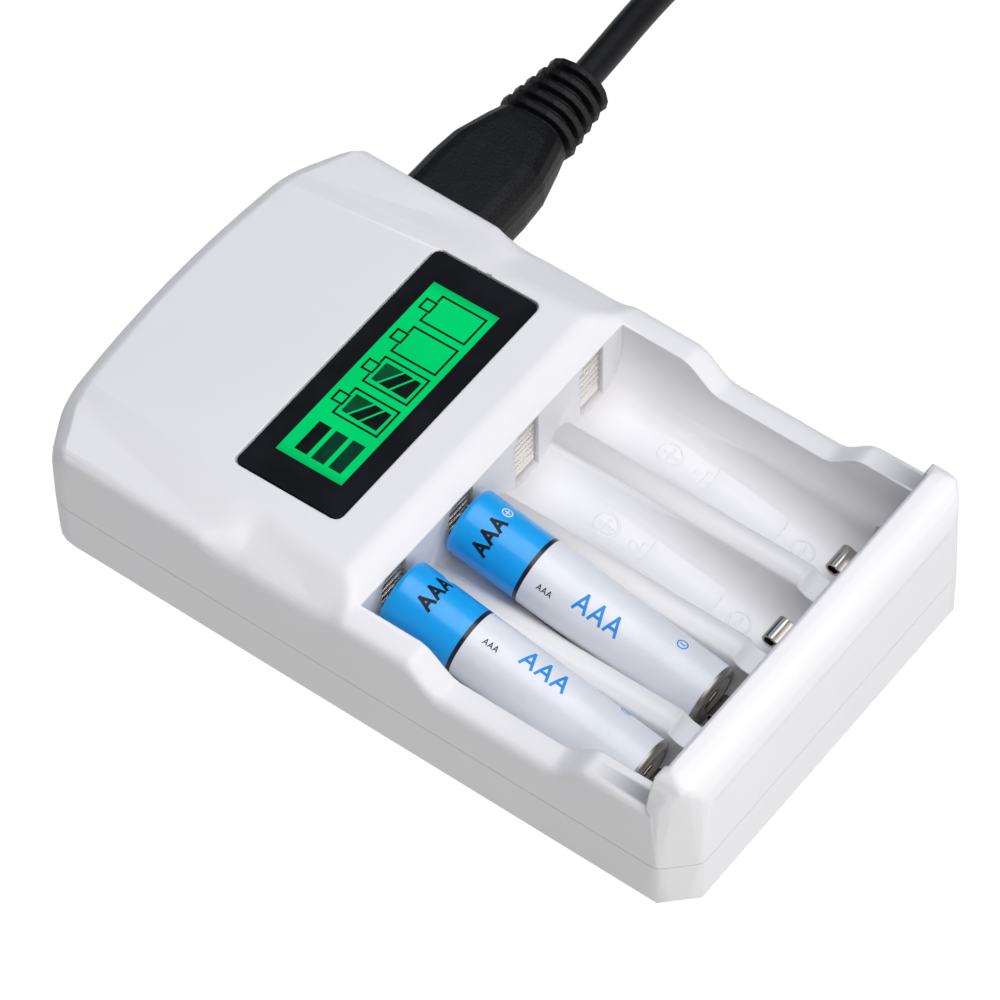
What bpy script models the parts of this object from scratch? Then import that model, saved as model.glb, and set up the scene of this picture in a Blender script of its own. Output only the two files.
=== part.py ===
# Four-bay charger for AA and AAA cells, with its mains lead and two AAA cells.
# Metres, +Z up, +X across the bays, +Y towards the display head.
# The origin is at the middle of the underside of the housing.
import bmesh
import bpy
import math
from mathutils import Matrix, Vector

for item in list(bpy.data.objects):
    bpy.data.objects.remove(item, do_unlink=True)

# Housing outline
SIDE_RIM = 0.0042
HEAD_LENGTH = 0.0582
FRONT_FACET = 0.00457
FACET_ROUND = 0.0022
REAR_ARC_RADIUS = 0.200
REAR_CORNER_ACROSS = 0.0092
REAR_CORNER_ALONG = 0.0049
REAR_CORNER_ROUND = 0.003
SEAM_HEIGHT = 0.0085
SEAM_GAP = 0.0003
LOWER_TAPER = 0.0002
BASE_ROUND = 0.0003
REAR_BEVEL_DEPTH = 0.005
REAR_BEVEL_HEIGHT = 0.0057
HOUSING_WALL = 0.0018
FRONT_SKIN = 0.0015
END_BLOCK = 0.0056
FLOOR_THICKNESS = 0.0016

# Display head
HEAD_TOP = 0.02246
HEAD_PITCH = -0.032
HEAD_SLOPE_LENGTH = 0.0052
PLATEAU_HALF_FRONT = 0.0283
PLATEAU_HALF_REAR = 0.0232
BEVEL_EDGE_FRONT = 0.0193
BEVEL_EDGE_REAR = 0.0208
JOG_LENGTH = 0.004
DISPLAY_ACROSS = 0.0017
DISPLAY_PLACE = 0.337
LENS_WIDTH = 0.0465
LENS_DEPTH = 0.0181
LENS_THICKNESS = 0.0012
LENS_CORNER = 0.001
WINDOW_WIDTH = 0.0384
WINDOW_DEPTH = 0.0134
FIT = 0.0003

# Bays
BAY_PITCH = 0.0152
BAY_COUNT = 4
BAY_FRONT = 0.0059
BAY_WALL = 0.0012
TRAY_WALL = 0.0015
TRAY_UNDERSIDE = 0.0019
LARGE_TROUGH_RADIUS = 0.00732
LARGE_TROUGH_AXIS = 0.01673
RIDGE_ROUND = 0.0024
RIDGE_END = 0.0128
SMALL_TROUGH_RADIUS = 0.00545
SMALL_TROUGH_FRONT = 0.0125
INNER_WALL = 0.001
INNER_WALL_LOW = 0.0035
RIM_HEIGHT = 0.021
RIM_SCOOP = 0.0042
SCOOP_START = 0.0165
SCOOP_RAMP = 0.0065
RIM_EDGE_ROUND = 0.0019

# Front wall
CREST_HEIGHT = 0.0275
CREST_BACK = 0.0046
CREST_START = 0.0205
SHOULDER_START = 0.019

# Cells
CELL_TILT = math.radians(11.06)
CELL_RADIUS = 0.00515
CELL_LENGTH = 0.0438
CELL_BUTTON_RADIUS = 0.0019
CELL_BUTTON_HEIGHT = 0.0009
CELL_FRONT = 0.0146
CELL_FRONT_HEIGHT = 0.00895
CELL_SLACK = 0.0002
LOADED_BAYS = 2

# Contacts
STRIP = 0.0004
CONTACT_WIDTH = 0.0041
CONTACT_PRESSED = 0.0014
CONTACT_NOSE = 0.0147
CONTACT_NOSE_HEIGHT = 0.00785
CONTACT_NOSE_RADIUS = 0.0012
CONTACT_UPPER_FACE = 0.0092
WINDOW_HALF = 0.0028
CONTACT_WINDOW_TOP = 0.0208
POSITIVE_RIBS = 7

# Board and the parts on it
BOARD_MARGIN = 0.0066
BOARD_THICKNESS = 0.0016
BOARD_UNDERSIDE = 0.0036
POST_RADIUS = 0.0028
SCREW_RADIUS = 0.0012
SCREW_HEAD_RADIUS = 0.0019
SCREW_HEAD_HEIGHT = 0.0011
BOSS_RADIUS = 0.0025
FRONT_SCREW_FROM_FRONT = 0.0082
REAR_SCREW_ACROSS = 0.022
REAR_SCREW_FROM_REAR = 0.0085
POST_INSET = 0.004
INLET_SIDE_POST = 0.011
BOARD_POST_RADIUS = 0.0022
BOARD_SCREW_RADIUS = 0.0009
BOARD_SCREW_HEAD = 0.0022
TRANSFORMER_HEIGHT = 0.0118
WINDING_DEPTH = 0.0025
CAPACITORS = ((0.007, 0.004, 0.0092), (0.0165, 0.0032, 0.0088))
CAPACITOR_FROM_POST = 0.0085
FUSE_LENGTH = 0.014
FUSE_RADIUS = 0.0026

# Mains inlet and lead
INLET_FROM_REAR = 0.022
INLET_HEIGHT = 0.0108
INLET_WIDTH = 0.0205
INLET_TALL = 0.0104
NOSE_WIDTH = 0.0138
NOSE_TALL = 0.0074
NOSE_LENGTH = 0.0072
PIN_SPACING = 0.0086
PIN_RADIUS = 0.0012
COUPLER_WIDTH = 0.0173
COUPLER_TALL = 0.0098
COUPLER_END = 0.057
RELIEF_END = 0.069
RELIEF_RIBS = 5
CORD_DIAMETER = 0.0048
COIL_ACROSS = 0.163
COIL_RADIUS = 0.0288
COIL_TURNS_ACROSS = 3
COIL_LAYERS = 2
COIL_LIFT = 0.0008
LEAVE_ANGLE = math.radians(-45)
PLUG_RELIEF_END = 0.152
PLUG_BODY_END = 0.142
PLUG_FACE = 0.121
PLUG_ALONG = -0.0396
PLUG_WIDTH = 0.022
PLUG_TALL = 0.013
PLUG_HEIGHT = 0.0066
BLADE_LENGTH = 0.015
BLADE_TALL = 0.0063
BLADE_THICKNESS = 0.0015
BLADE_SPACING = 0.0127

# What follows from the sizes above
HOUSING_WIDTH = BAY_COUNT * BAY_PITCH + 2 * SIDE_RIM
BAY_REAR = CELL_FRONT + CELL_LENGTH * math.cos(CELL_TILT) + CELL_SLACK
SMALL_TROUGH_REAR = BAY_REAR - 0.0118
SCOOP_END = BAY_REAR - 0.0103
POSITIVE_FACE = BAY_REAR + 0.0005
HOUSING_LENGTH = BAY_REAR + HEAD_LENGTH
DISPLAY_FROM_FRONT = BAY_REAR + DISPLAY_PLACE * HEAD_LENGTH
JOG_FROM_FRONT = DISPLAY_FROM_FRONT + 0.0011
REAR_SCREW_FROM_FRONT = HOUSING_LENGTH - REAR_SCREW_FROM_REAR
INLET_FROM_FRONT = HOUSING_LENGTH - INLET_FROM_REAR
INNER_WALL_HALF = (BAY_COUNT - 1) / 2 * BAY_PITCH + 0.0047
BOARD_WIDTH = HOUSING_WIDTH - 2 * BOARD_MARGIN
BOARD_DEPTH = HEAD_LENGTH - 0.0152

HALF_WIDTH = HOUSING_WIDTH / 2
FRONT_Y = -HOUSING_LENGTH / 2
REAR_Y = HOUSING_LENGTH / 2
BAY_CENTRES = [(i - (BAY_COUNT - 1) / 2) * BAY_PITCH for i in range(BAY_COUNT)]
COUPLER_FACE = HALF_WIDTH + 2 * FIT


def material(name, colour, roughness, metallic=0.0):
    made = bpy.data.materials.new(name)
    made.use_nodes = True
    shader = made.node_tree.nodes["Principled BSDF"]
    shader.inputs["Base Color"].default_value = (*colour, 1.0)
    shader.inputs["Roughness"].default_value = roughness
    shader.inputs["Metallic"].default_value = metallic
    return made


WHITE = ((0.83, 0.83, 0.86), 0.35, 0.0)
BLACK = ((0.012, 0.012, 0.014), 0.5, 0.0)
NICKEL = ((0.62, 0.6, 0.56), 0.25, 1.0)
GREEN = ((0.0, 0.68, 0.16), 0.2, 0.0)


def new_object(name, mesh_or_curve, look):
    made = bpy.data.objects.new(name, mesh_or_curve)
    bpy.context.scene.collection.objects.link(made)
    made.data.materials.append(material(name + "_finish", *look))
    return made


def solid(name, bm, look=WHITE, sharp_angle=35):
    bmesh.ops.recalc_face_normals(bm, faces=bm.faces)
    mesh = bpy.data.meshes.new(name)
    bm.to_mesh(mesh)
    bm.free()
    mesh.shade_smooth()
    mesh.set_sharp_from_angle(angle=math.radians(sharp_angle))
    return new_object(name, mesh, look)


def loft(name, rings, look=WHITE, sharp_angle=35):
    bm = bmesh.new()
    loops = [[bm.verts.new(point) for point in ring] for ring in rings]
    for low, high in zip(loops, loops[1:]):
        for i in range(len(low)):
            j = (i + 1) % len(low)
            bm.faces.new((low[i], low[j], high[j], high[i]))
    bm.faces.new(loops[0])
    bm.faces.new(loops[-1])
    return solid(name, bm, look, sharp_angle)


# A flat outline is swept straight along one axis; the outline lies in the other two
def sweep(name, outline, axis, start, end, look=WHITE, sharp_angle=35):
    place = {
        "x": lambda a, b, s: (s, a, b),
        "y": lambda a, b, s: (a, s, b),
        "z": lambda a, b, s: (a, b, s),
    }[axis]
    rings = [[Vector(place(a, b, s)) for a, b in outline] for s in (start, end)]
    return loft(name, rings, look, sharp_angle)


def box(name, x0, x1, y0, y1, z0, z1, look=WHITE):
    return sweep(name, [(x0, y0), (x1, y0), (x1, y1), (x0, y1)], "z", z0, z1, look)


def arc(cx, cy, radius, start, end, steps, radius_b=None):
    other = radius if radius_b is None else radius_b
    angles = [math.radians(start + (end - start) * i / steps) for i in range(steps + 1)]
    return [(cx + radius * math.cos(a), cy + other * math.sin(a)) for a in angles]


def rounded_box(width, depth, corner, steps=3):
    points = []
    for sx, sy, start in ((1, 1, 0), (-1, 1, 90), (-1, -1, 180), (1, -1, 270)):
        points += arc(sx * (width / 2 - corner), sy * (depth / 2 - corner), corner, start, start + 90, steps)
    return points


def rod(name, x, y, z0, z1, radius, look=WHITE, steps=24):
    return sweep(name, arc(x, y, radius, 0, 360 - 360 / steps, steps - 1), "z", z0, z1, look)


# A profile of (radius, height) pairs is turned about the local Z axis
def turned(name, profile, look, steps=28, sharp_angle=35):
    bm = bmesh.new()
    rings = []
    for radius, height in profile:
        if radius == 0.0:
            rings.append([bm.verts.new((0, 0, height))])
        else:
            rings.append([bm.verts.new((radius * math.cos(2 * math.pi * i / steps),
                                        radius * math.sin(2 * math.pi * i / steps), height))
                          for i in range(steps)])
    for low, high in zip(rings, rings[1:]):
        for i in range(steps):
            j = (i + 1) % steps
            if len(low) == 1:
                bm.faces.new((low[0], high[j], high[i]))
            elif len(high) == 1:
                bm.faces.new((low[i], low[j], high[0]))
            else:
                bm.faces.new((low[i], low[j], high[j], high[i]))
    return solid(name, bm, look, sharp_angle)


def boolean(target, cutter, operation):
    step = target.modifiers.new(operation.lower(), "BOOLEAN")
    step.operation = operation
    step.object = cutter
    step.solver = "EXACT"
    bpy.context.view_layer.update()
    graph = bpy.context.evaluated_depsgraph_get()
    mesh = bpy.data.meshes.new_from_object(target.evaluated_get(graph))
    target.modifiers.clear()
    target.data = mesh
    bpy.data.objects.remove(cutter, do_unlink=True)
    return target


def cut(target, cutter):
    return boolean(target, cutter, "DIFFERENCE")


def join(target, other):
    return boolean(target, other, "UNION")


def common(target, other):
    return boolean(target, other, "INTERSECT")


def finish_edges(target, sharp_angle=30):
    target.data.shade_smooth()
    target.data.set_sharp_from_angle(angle=math.radians(sharp_angle))
    return target


def ease(amount):
    amount = min(max(amount, 0.0), 1.0)
    return amount * amount * (3 - 2 * amount)


def mix(a, b, amount):
    return a + (b - a) * amount


def from_front(distance):
    return FRONT_Y + distance


def curve_between(start, control, end, steps):
    points = []
    for i in range(steps + 1):
        t = i / steps
        points.append(tuple((1 - t) ** 2 * a + 2 * t * (1 - t) * c + t * t * b
                            for a, c, b in zip(start, control, end)))
    return points


# The plan of the housing: straight sides, small front facets, a shallow rear arc and
# rounded rear corners. inset moves every edge inwards, rear_inset only the rear ones.
def plan_outline(inset=0.0, rear_inset=0.0):
    side = HALF_WIDTH - inset
    front = FRONT_Y + inset
    facet = FRONT_FACET - inset * (2 - math.sqrt(2))
    radius = REAR_ARC_RADIUS - inset - rear_inset
    centre_y = REAR_Y - REAR_ARC_RADIUS
    corner_x = HALF_WIDTH - REAR_CORNER_ACROSS
    corner_top = centre_y + math.sqrt(REAR_ARC_RADIUS ** 2 - corner_x ** 2)
    along = Vector((-REAR_CORNER_ACROSS, REAR_CORNER_ALONG)).normalized()
    normal = Vector((along.y, -along.x))
    base = Vector((HALF_WIDTH, corner_top - REAR_CORNER_ALONG)) - normal * (inset + rear_inset)
    low = base + along * ((side - base.x) / along.x)
    reach = 0.0
    for _ in range(12):
        point = base + along * reach
        reach += (centre_y + math.sqrt(radius ** 2 - point.x ** 2) - point.y) / along.y
    high = base + along * reach
    slope = Vector((-math.sqrt(radius ** 2 - high.x ** 2), high.x)).normalized()
    cut_back = min(REAR_CORNER_ROUND, (high - low).length * 0.45)
    half_round = min(FACET_ROUND, facet * 0.7)
    slant = half_round / math.sqrt(2)
    right = curve_between((side - facet - half_round, front), (side - facet, front),
                          (side - facet + slant, front + slant), 2)
    right += curve_between((side - slant, front + facet - slant), (side, front + facet),
                           (side, front + facet + half_round), 2)
    right += curve_between((side, low.y - cut_back), low, tuple(low + along * cut_back), 4)
    right += curve_between(tuple(high - along * cut_back), high, tuple(high + slope * cut_back), 4)
    end_x = right[-1][0]
    span = [end_x * (1 - i / 4) for i in range(1, 8)]
    rear = [(x, centre_y + math.sqrt(radius ** 2 - x * x)) for x in span]
    left = [(-x, y) for x, y in reversed(right)]
    return right + rear + left


def stack(name, levels):
    rings = []
    for z, inset, rear_inset in levels:
        rings.append([Vector((x, y, z)) for x, y in plan_outline(inset, rear_inset)])
    return loft(name, rings)


def outer_stack(name):
    levels = [
        (0.0, LOWER_TAPER + BASE_ROUND, 0.0),
        (BASE_ROUND * 0.3, LOWER_TAPER + BASE_ROUND * 0.3, 0.0),
        (BASE_ROUND, LOWER_TAPER * (1 - BASE_ROUND / SEAM_HEIGHT), 0.0),
        (SEAM_HEIGHT, 0.0, 0.0),
    ]
    bevel_top = plateau_height(HOUSING_LENGTH - REAR_BEVEL_DEPTH) + 0.00025
    for i in range(7):
        angle = math.radians(15 * i)
        levels.append((bevel_top - REAR_BEVEL_HEIGHT * (1 - math.sin(angle)), 0.0,
                       REAR_BEVEL_DEPTH * (1 - math.cos(angle))))
    levels.append((CREST_HEIGHT + 0.003, 0.0, REAR_BEVEL_DEPTH))
    return stack(name, levels)


def plateau_height(distance):
    return HEAD_TOP + HEAD_PITCH * (distance - DISPLAY_FROM_FRONT)


# Height of the side rims: high at both ends, scooped for the fingers between them
def rim_height(distance):
    scoop = ease((distance - SCOOP_START) / SCOOP_RAMP) * ease((SCOOP_END - distance) / SCOOP_RAMP)
    return RIM_HEIGHT - RIM_SCOOP * scoop


# One cross-section of the top form at a distance from the front:
# level middle, soft plateau edge, bevel to the side and a rounded side edge
def top_section(distance, drop=0.0, narrow=0.0):
    if distance < BAY_REAR:
        top = rim_height(distance)
        flat = HALF_WIDTH - 0.0034
        edge = top - 0.0003
        edge_round = RIM_EDGE_ROUND
    else:
        rise = ease((distance - BAY_REAR) / HEAD_SLOPE_LENGTH * 0.5 + 0.5) * 2 - 1
        top = mix(rim_height(BAY_REAR), plateau_height(distance), rise)
        along = (distance - BAY_REAR) / (HOUSING_LENGTH - BAY_REAR)
        flat = mix(PLATEAU_HALF_FRONT, PLATEAU_HALF_REAR, along)
        flat = mix(HALF_WIDTH - 0.0034, flat, rise)
        jog = ease((distance - JOG_FROM_FRONT) / JOG_LENGTH + 0.5)
        edge = mix(BEVEL_EDGE_FRONT, BEVEL_EDGE_REAR, jog)
        edge = mix(rim_height(BAY_REAR) - 0.0003, edge, ease(rise))
        edge_round = 0.0017
    top -= drop
    edge -= drop
    side = HALF_WIDTH - narrow
    flat -= narrow
    bevel = Vector((side - flat, edge - top)).normalized()
    soft = min(0.0015, (side - flat) * 0.3)
    right = curve_between((flat - soft, top), (flat, top), (flat + soft * bevel.x, top + soft * bevel.y), 3)
    right += curve_between((side - edge_round * bevel.x, edge - edge_round * bevel.y), (side, edge),
                           (side, edge - edge_round), 5)
    right.append((side + 0.001, edge - edge_round - 0.0005))
    right.append((side + 0.001, -0.002))
    return [Vector((x, from_front(distance), z)) for x, z in right] + \
           [Vector((-x, from_front(distance), z)) for x, z in reversed(right)]


def stations(start, end):
    marks = [start, SCOOP_START, SCOOP_START + SCOOP_RAMP, SCOOP_END - SCOOP_RAMP, SCOOP_END,
             BAY_REAR, BAY_REAR + HEAD_SLOPE_LENGTH, JOG_FROM_FRONT - JOG_LENGTH / 2,
             JOG_FROM_FRONT + JOG_LENGTH / 2, end]
    found = [start]
    steps = {1: 5, 3: 5, 5: 6, 7: 6}
    for i, (a, b) in enumerate(zip(marks, marks[1:])):
        for k in range(1, steps.get(i, 1) + 1):
            here = a + (b - a) * k / steps.get(i, 1)
            if start < here <= end:
                found.append(here)
    return found


def top_form(name, start, end, drop=0.0, narrow=0.0):
    return loft(name, [top_section(d, drop, narrow) for d in stations(start, end)])


# The raised front wall: its outer face curves back to the crest, its ends slope down
def front_crest(name):
    rise = CREST_HEIGHT - CREST_START
    profile = [(-0.001, 0.004), (-0.001, CREST_START)]
    for i in range(7):
        angle = math.radians(13 * i)
        profile.append((CREST_BACK * (1 - math.cos(angle)), CREST_START + rise * math.sin(angle)))
    behind = BAY_FRONT + 0.0006
    profile += [(BAY_FRONT - 0.0006, CREST_HEIGHT), (behind, CREST_HEIGHT - 0.001), (behind, 0.004)]
    wall = sweep(name, [(from_front(y), z) for y, z in profile], "x", -HALF_WIDTH - 0.001, HALF_WIDTH + 0.001)
    ends = [(HALF_WIDTH + 0.002, 0.0), (HALF_WIDTH + 0.002, SHOULDER_START)]
    for i in range(7):
        angle = math.radians(15 * i)
        ends.append((HALF_WIDTH - CREST_BACK * (1 - math.cos(angle)),
                     SHOULDER_START + (CREST_HEIGHT + 0.0002 - SHOULDER_START) * math.sin(angle)))
    ends += [(-x, z) for x, z in reversed(ends)]
    return common(wall, sweep("ends", ends, "y", FRONT_Y - 0.002, from_front(BAY_FRONT + 0.002)))


def outer_form(name):
    form = top_form(name, -0.001, HOUSING_LENGTH + 0.002)
    join(form, front_crest("crest"))
    return common(form, outer_stack("walls"))


# The cross-section of the row of large troughs with rounded ridges between them;
# spread is the thickness added around the troughs for the underside of the tray, and
# side_start the angle left out at each end of the row
def trough_row(spread, top, side_start=0):
    radius = LARGE_TROUGH_RADIUS + spread
    ridge = RIDGE_ROUND - spread
    ridge_z = LARGE_TROUGH_AXIS - math.sqrt((radius + ridge) ** 2 - (BAY_PITCH / 2) ** 2)
    lean = math.degrees(math.asin((BAY_PITCH / 2) / (radius + ridge)))
    points = []
    for k, centre in enumerate(BAY_CENTRES):
        start = 180 + side_start if k == 0 else 270 - lean
        end = 360 - side_start if k == BAY_COUNT - 1 else 270 + lean
        points += arc(centre, LARGE_TROUGH_AXIS, radius, start, end, 10)
        if k < BAY_COUNT - 1:
            points += arc(centre + BAY_PITCH / 2, ridge_z, ridge, 90 + lean, 90 - lean, 4)[1:-1]
    points.append((points[-1][0], top))
    points.append((points[0][0], top))
    return points


def cell_height(distance):
    return CELL_FRONT_HEIGHT + (distance - CELL_FRONT) * math.tan(CELL_TILT)


# One small trough: a half round along the tilted cell axis with upright sides above it
def small_trough(name, centre, start, end, radius, above):
    rings = []
    for distance in (start, end):
        z = cell_height(distance)
        ring = [(centre + a, z + b) for a, b in arc(0, 0, radius, 180, 360, 14, radius / math.cos(CELL_TILT))]
        ring += [(centre + radius, z + above), (centre - radius, z + above)]
        rings.append([Vector((x, from_front(distance), height)) for x, height in ring])
    return loft(name, rings)


def screw_places():
    front = from_front(FRONT_SCREW_FROM_FRONT)
    rear = from_front(REAR_SCREW_FROM_FRONT)
    return [(-BAY_PITCH, front), (BAY_PITCH, front), (-REAR_SCREW_ACROSS, rear), (REAR_SCREW_ACROSS, rear)]


def head_frame(across, distance, height):
    return Matrix.Translation((across, from_front(distance), height)) @ Matrix.Rotation(HEAD_PITCH, 4, "X")


# A plate parallel to the sloping top of the head; depth is measured down from that top
def head_plate(name, outline, top_depth, thickness, look):
    made = sweep(name, outline, "z", -top_depth - thickness, -top_depth, look)
    made.data.transform(head_frame(DISPLAY_ACROSS, DISPLAY_FROM_FRONT, HEAD_TOP))
    return made


def figure_eight(width, tall, steps=10):
    radius = tall / 2
    reach = width / 2 - radius
    return arc(reach, 0, radius, -90, 90, steps) + arc(-reach, 0, radius, 90, 270, steps)


def inlet_cutter(name, width, tall, x0, x1):
    outline = [(from_front(INLET_FROM_FRONT) + a, INLET_HEIGHT + b) for a, b in rounded_box(width, tall, 0.002)]
    return sweep(name, outline, "x", x0, x1)


# The tray: a skin under the large troughs, deeper skins under the small ones, a ledge in front of
# them, and the inner front wall that the sprung contacts pass through
def add_tray(shell):
    front = from_front(BAY_FRONT - INNER_WALL)
    rear = from_front(BAY_REAR + BAY_WALL / 2)
    floor = LARGE_TROUGH_AXIS - LARGE_TROUGH_RADIUS
    join(shell, sweep("tray_skin", trough_row(TRAY_WALL, LARGE_TROUGH_AXIS - 0.0018, 15), "y", front, rear))
    join(shell, box("ledge", BAY_CENTRES[0], BAY_CENTRES[-1], front, from_front(RIDGE_END + 0.0025),
                    floor - TRAY_WALL, floor + 0.0024))
    join(shell, box("inner_wall", -INNER_WALL_HALF, INNER_WALL_HALF, front, from_front(BAY_FRONT + 0.0002),
                    INNER_WALL_LOW, floor + 0.0009))
    skins = []
    for k, centre in enumerate(BAY_CENTRES):
        skin = small_trough(f"skin_{k}", centre, SMALL_TROUGH_FRONT - TRAY_WALL, SMALL_TROUGH_REAR,
                            SMALL_TROUGH_RADIUS + TRAY_WALL, 0.0034)
        skins.append(common(skin, box("above_floor", -0.1, 0.1, -0.1, 0.1, TRAY_UNDERSIDE, floor + 0.003)))
    for skin in skins:
        join(shell, skin)


# Top shell
def build_top_shell():
    shell = outer_form("top_shell")
    cut(shell, box("below", -0.1, 0.1, -0.1, 0.1, -0.01, SEAM_HEIGHT + SEAM_GAP / 2))

    # The head is hollow, and so is the space under the tray and inside the front wall
    head = stack("head_space", [(SEAM_HEIGHT - 0.001, HOUSING_WALL, 0.0),
                                (plateau_height(HOUSING_LENGTH) - REAR_BEVEL_HEIGHT, HOUSING_WALL, 0.0),
                                (HEAD_TOP, HOUSING_WALL, REAR_BEVEL_DEPTH * 0.8)])
    common(head, top_form("head_roof", BAY_REAR + BAY_WALL, HOUSING_LENGTH + 0.002, HOUSING_WALL, HOUSING_WALL))
    cut(shell, head)
    side = HALF_WIDTH - HOUSING_WALL
    cut(shell, box("tray_space", -side, side, from_front(BAY_FRONT), from_front(BAY_REAR - BAY_WALL),
                   -0.001, LARGE_TROUGH_AXIS - 0.0028))
    front_space = stack("front_space", [(-0.001, FRONT_SKIN, 0.0), (CREST_START + 0.002, FRONT_SKIN, 0.0)])
    end_block = HALF_WIDTH - END_BLOCK
    common(front_space, box("front_part", -end_block, end_block, -0.1, from_front(BAY_FRONT - INNER_WALL),
                            -0.01, 0.1))
    cut(shell, front_space)
    add_tray(shell)

    # Bays
    end = from_front(BAY_REAR)
    cut(shell, sweep("large_troughs", trough_row(0.0, 0.04), "y", from_front(BAY_FRONT), end))
    for k, centre in enumerate(BAY_CENTRES):
        cut(shell, small_trough(f"small_{k}", centre, SMALL_TROUGH_FRONT, SMALL_TROUGH_REAR,
                                SMALL_TROUGH_RADIUS, 0.0035))
    ridge_top = LARGE_TROUGH_AXIS - LARGE_TROUGH_RADIUS + 0.0012
    ridge_end = [(BAY_FRONT, 0.035), (BAY_FRONT, ridge_top), (RIDGE_END, ridge_top)]
    ridge_end += [(RIDGE_END + 0.0032 * math.sin(math.radians(a)),
                   ridge_top + 0.0032 * (1 - math.cos(math.radians(a)))) for a in (20, 40, 60, 80)]
    ridge_end.append((RIDGE_END + 0.0032, 0.035))
    cut(shell, sweep("ridge_ends", [(from_front(y), z) for y, z in ridge_end], "x", BAY_CENTRES[0],
                     BAY_CENTRES[-1]))

    # Contact windows in the rear bay wall and slots for the sprung contacts in front
    floor = LARGE_TROUGH_AXIS - LARGE_TROUGH_RADIUS
    slot = CONTACT_WIDTH / 2 + FIT
    for k, centre in enumerate(BAY_CENTRES):
        arch = arc(0, LARGE_TROUGH_AXIS, LARGE_TROUGH_RADIUS - 0.0002, 248, 292, 6)
        outline = [(centre + a, b) for a, b in arch]
        outline += [(centre + WINDOW_HALF, CONTACT_WINDOW_TOP), (centre - WINDOW_HALF + 0.001, CONTACT_WINDOW_TOP),
                    (centre - WINDOW_HALF, CONTACT_WINDOW_TOP - 0.0016)]
        cut(shell, sweep(f"window_{k}", outline, "y", end - 0.001, end + BAY_WALL + 0.001))
        cut(shell, box(f"upper_slot_{k}", centre - slot, centre + slot, from_front(BAY_FRONT) - 0.0012,
                       from_front(BAY_FRONT) + 0.0005, floor + 0.0007, 0.0199))
        cut(shell, box(f"lower_slot_{k}", centre - slot, centre + slot, from_front(BAY_FRONT) - 0.0012,
                       from_front(SMALL_TROUGH_FRONT) + 0.0005, 0.0058,
                       CONTACT_NOSE_HEIGHT + CONTACT_NOSE_RADIUS - 0.0001))

    # Display opening
    cut(shell, head_plate("lens_pocket", rounded_box(LENS_WIDTH + 2 * FIT, LENS_DEPTH + 2 * FIT, LENS_CORNER + FIT),
                          -0.002, LENS_THICKNESS + FIT + 0.002, WHITE))
    cut(shell, head_plate("lens_window", rounded_box(WINDOW_WIDTH, WINDOW_DEPTH, 0.0005), -0.002, 0.008, WHITE))

    # Mains inlet opening
    cut(shell, inlet_cutter("inlet_hole", INLET_WIDTH + 2 * FIT, INLET_TALL + 2 * FIT, HALF_WIDTH - 0.004,
                            HALF_WIDTH + 0.002))

    # Screw posts
    posts = []
    for k, (x, y) in enumerate(screw_places()):
        roof = 0.0102 if k < 2 else plateau_height(REAR_SCREW_FROM_FRONT) - HOUSING_WALL / 2
        post = rod(f"post_{k}", x, y, FLOOR_THICKNESS + 0.0019, roof, POST_RADIUS)
        posts.append(post)
    for post in posts:
        join(shell, post)
    for k, (x, y) in enumerate(screw_places()):
        cut(shell, rod(f"bore_{k}", x, y, 0.0, 0.0082, SCREW_RADIUS + FIT))
    return finish_edges(shell)


# Bottom cover
def build_bottom_cover():
    cover = outer_stack("bottom_cover")
    cut(cover, box("above", -0.1, 0.1, -0.1, 0.1, SEAM_HEIGHT - SEAM_GAP / 2, 0.05))
    inside = stack("inside", [(FLOOR_THICKNESS, LOWER_TAPER + FRONT_SKIN, 0.0),
                              (SEAM_HEIGHT, FRONT_SKIN, 0.0), (SEAM_HEIGHT + 0.003, FRONT_SKIN, 0.0)])
    cut(cover, inside)
    for k, (x, y) in enumerate(screw_places()):
        join(cover, rod(f"boss_{k}", x, y, FLOOR_THICKNESS - 0.0005, FLOOR_THICKNESS + 0.0015, BOSS_RADIUS))
    for k, (x, y) in enumerate(screw_places()):
        cut(cover, rod(f"recess_{k}", x, y, -0.001, SCREW_HEAD_HEIGHT + FIT, SCREW_HEAD_RADIUS + FIT))
        cut(cover, rod(f"hole_{k}", x, y, 0.001, 0.006, SCREW_RADIUS + FIT))
    for k, (x, y) in enumerate(board_posts()):
        join(cover, rod(f"board_post_{k}", x, y, FLOOR_THICKNESS - 0.0005, BOARD_UNDERSIDE - FIT,
                        BOARD_POST_RADIUS))
    for k, (x, y) in enumerate(board_posts()[:2]):
        cut(cover, rod(f"board_bore_{k}", x, y, FLOOR_THICKNESS, 0.006, BOARD_SCREW_RADIUS + FIT))
    cut(cover, inlet_cutter("inlet_hole_low", INLET_WIDTH + 2 * FIT, INLET_TALL + 2 * FIT, HALF_WIDTH - 0.004,
                            HALF_WIDTH + 0.002))
    return finish_edges(cover)


def board_rear():
    return from_front(BAY_REAR + BAY_WALL) + BOARD_DEPTH


def board_posts():
    near = from_front(BAY_REAR + BAY_WALL) + POST_INSET
    far = board_rear() - POST_INSET
    side = BOARD_WIDTH / 2 - POST_INSET
    return [(-side, far), (side - INLET_SIDE_POST, far), (-side, near), (side, near)]


def build_housing_screws():
    for k, (x, y) in enumerate(screw_places()):
        screw = turned(f"housing_screw_{k + 1}", [
            (0.0, 0.0), (SCREW_HEAD_RADIUS * 0.9, 0.0), (SCREW_HEAD_RADIUS, 0.0002),
            (SCREW_HEAD_RADIUS, SCREW_HEAD_HEIGHT - FIT - 0.0002), (SCREW_RADIUS, SCREW_HEAD_HEIGHT - FIT),
            (SCREW_RADIUS, 0.0065), (0.0, 0.0072)], NICKEL, 20)
        screw.data.transform(Matrix.Translation((x, y, 0.0003)))


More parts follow.
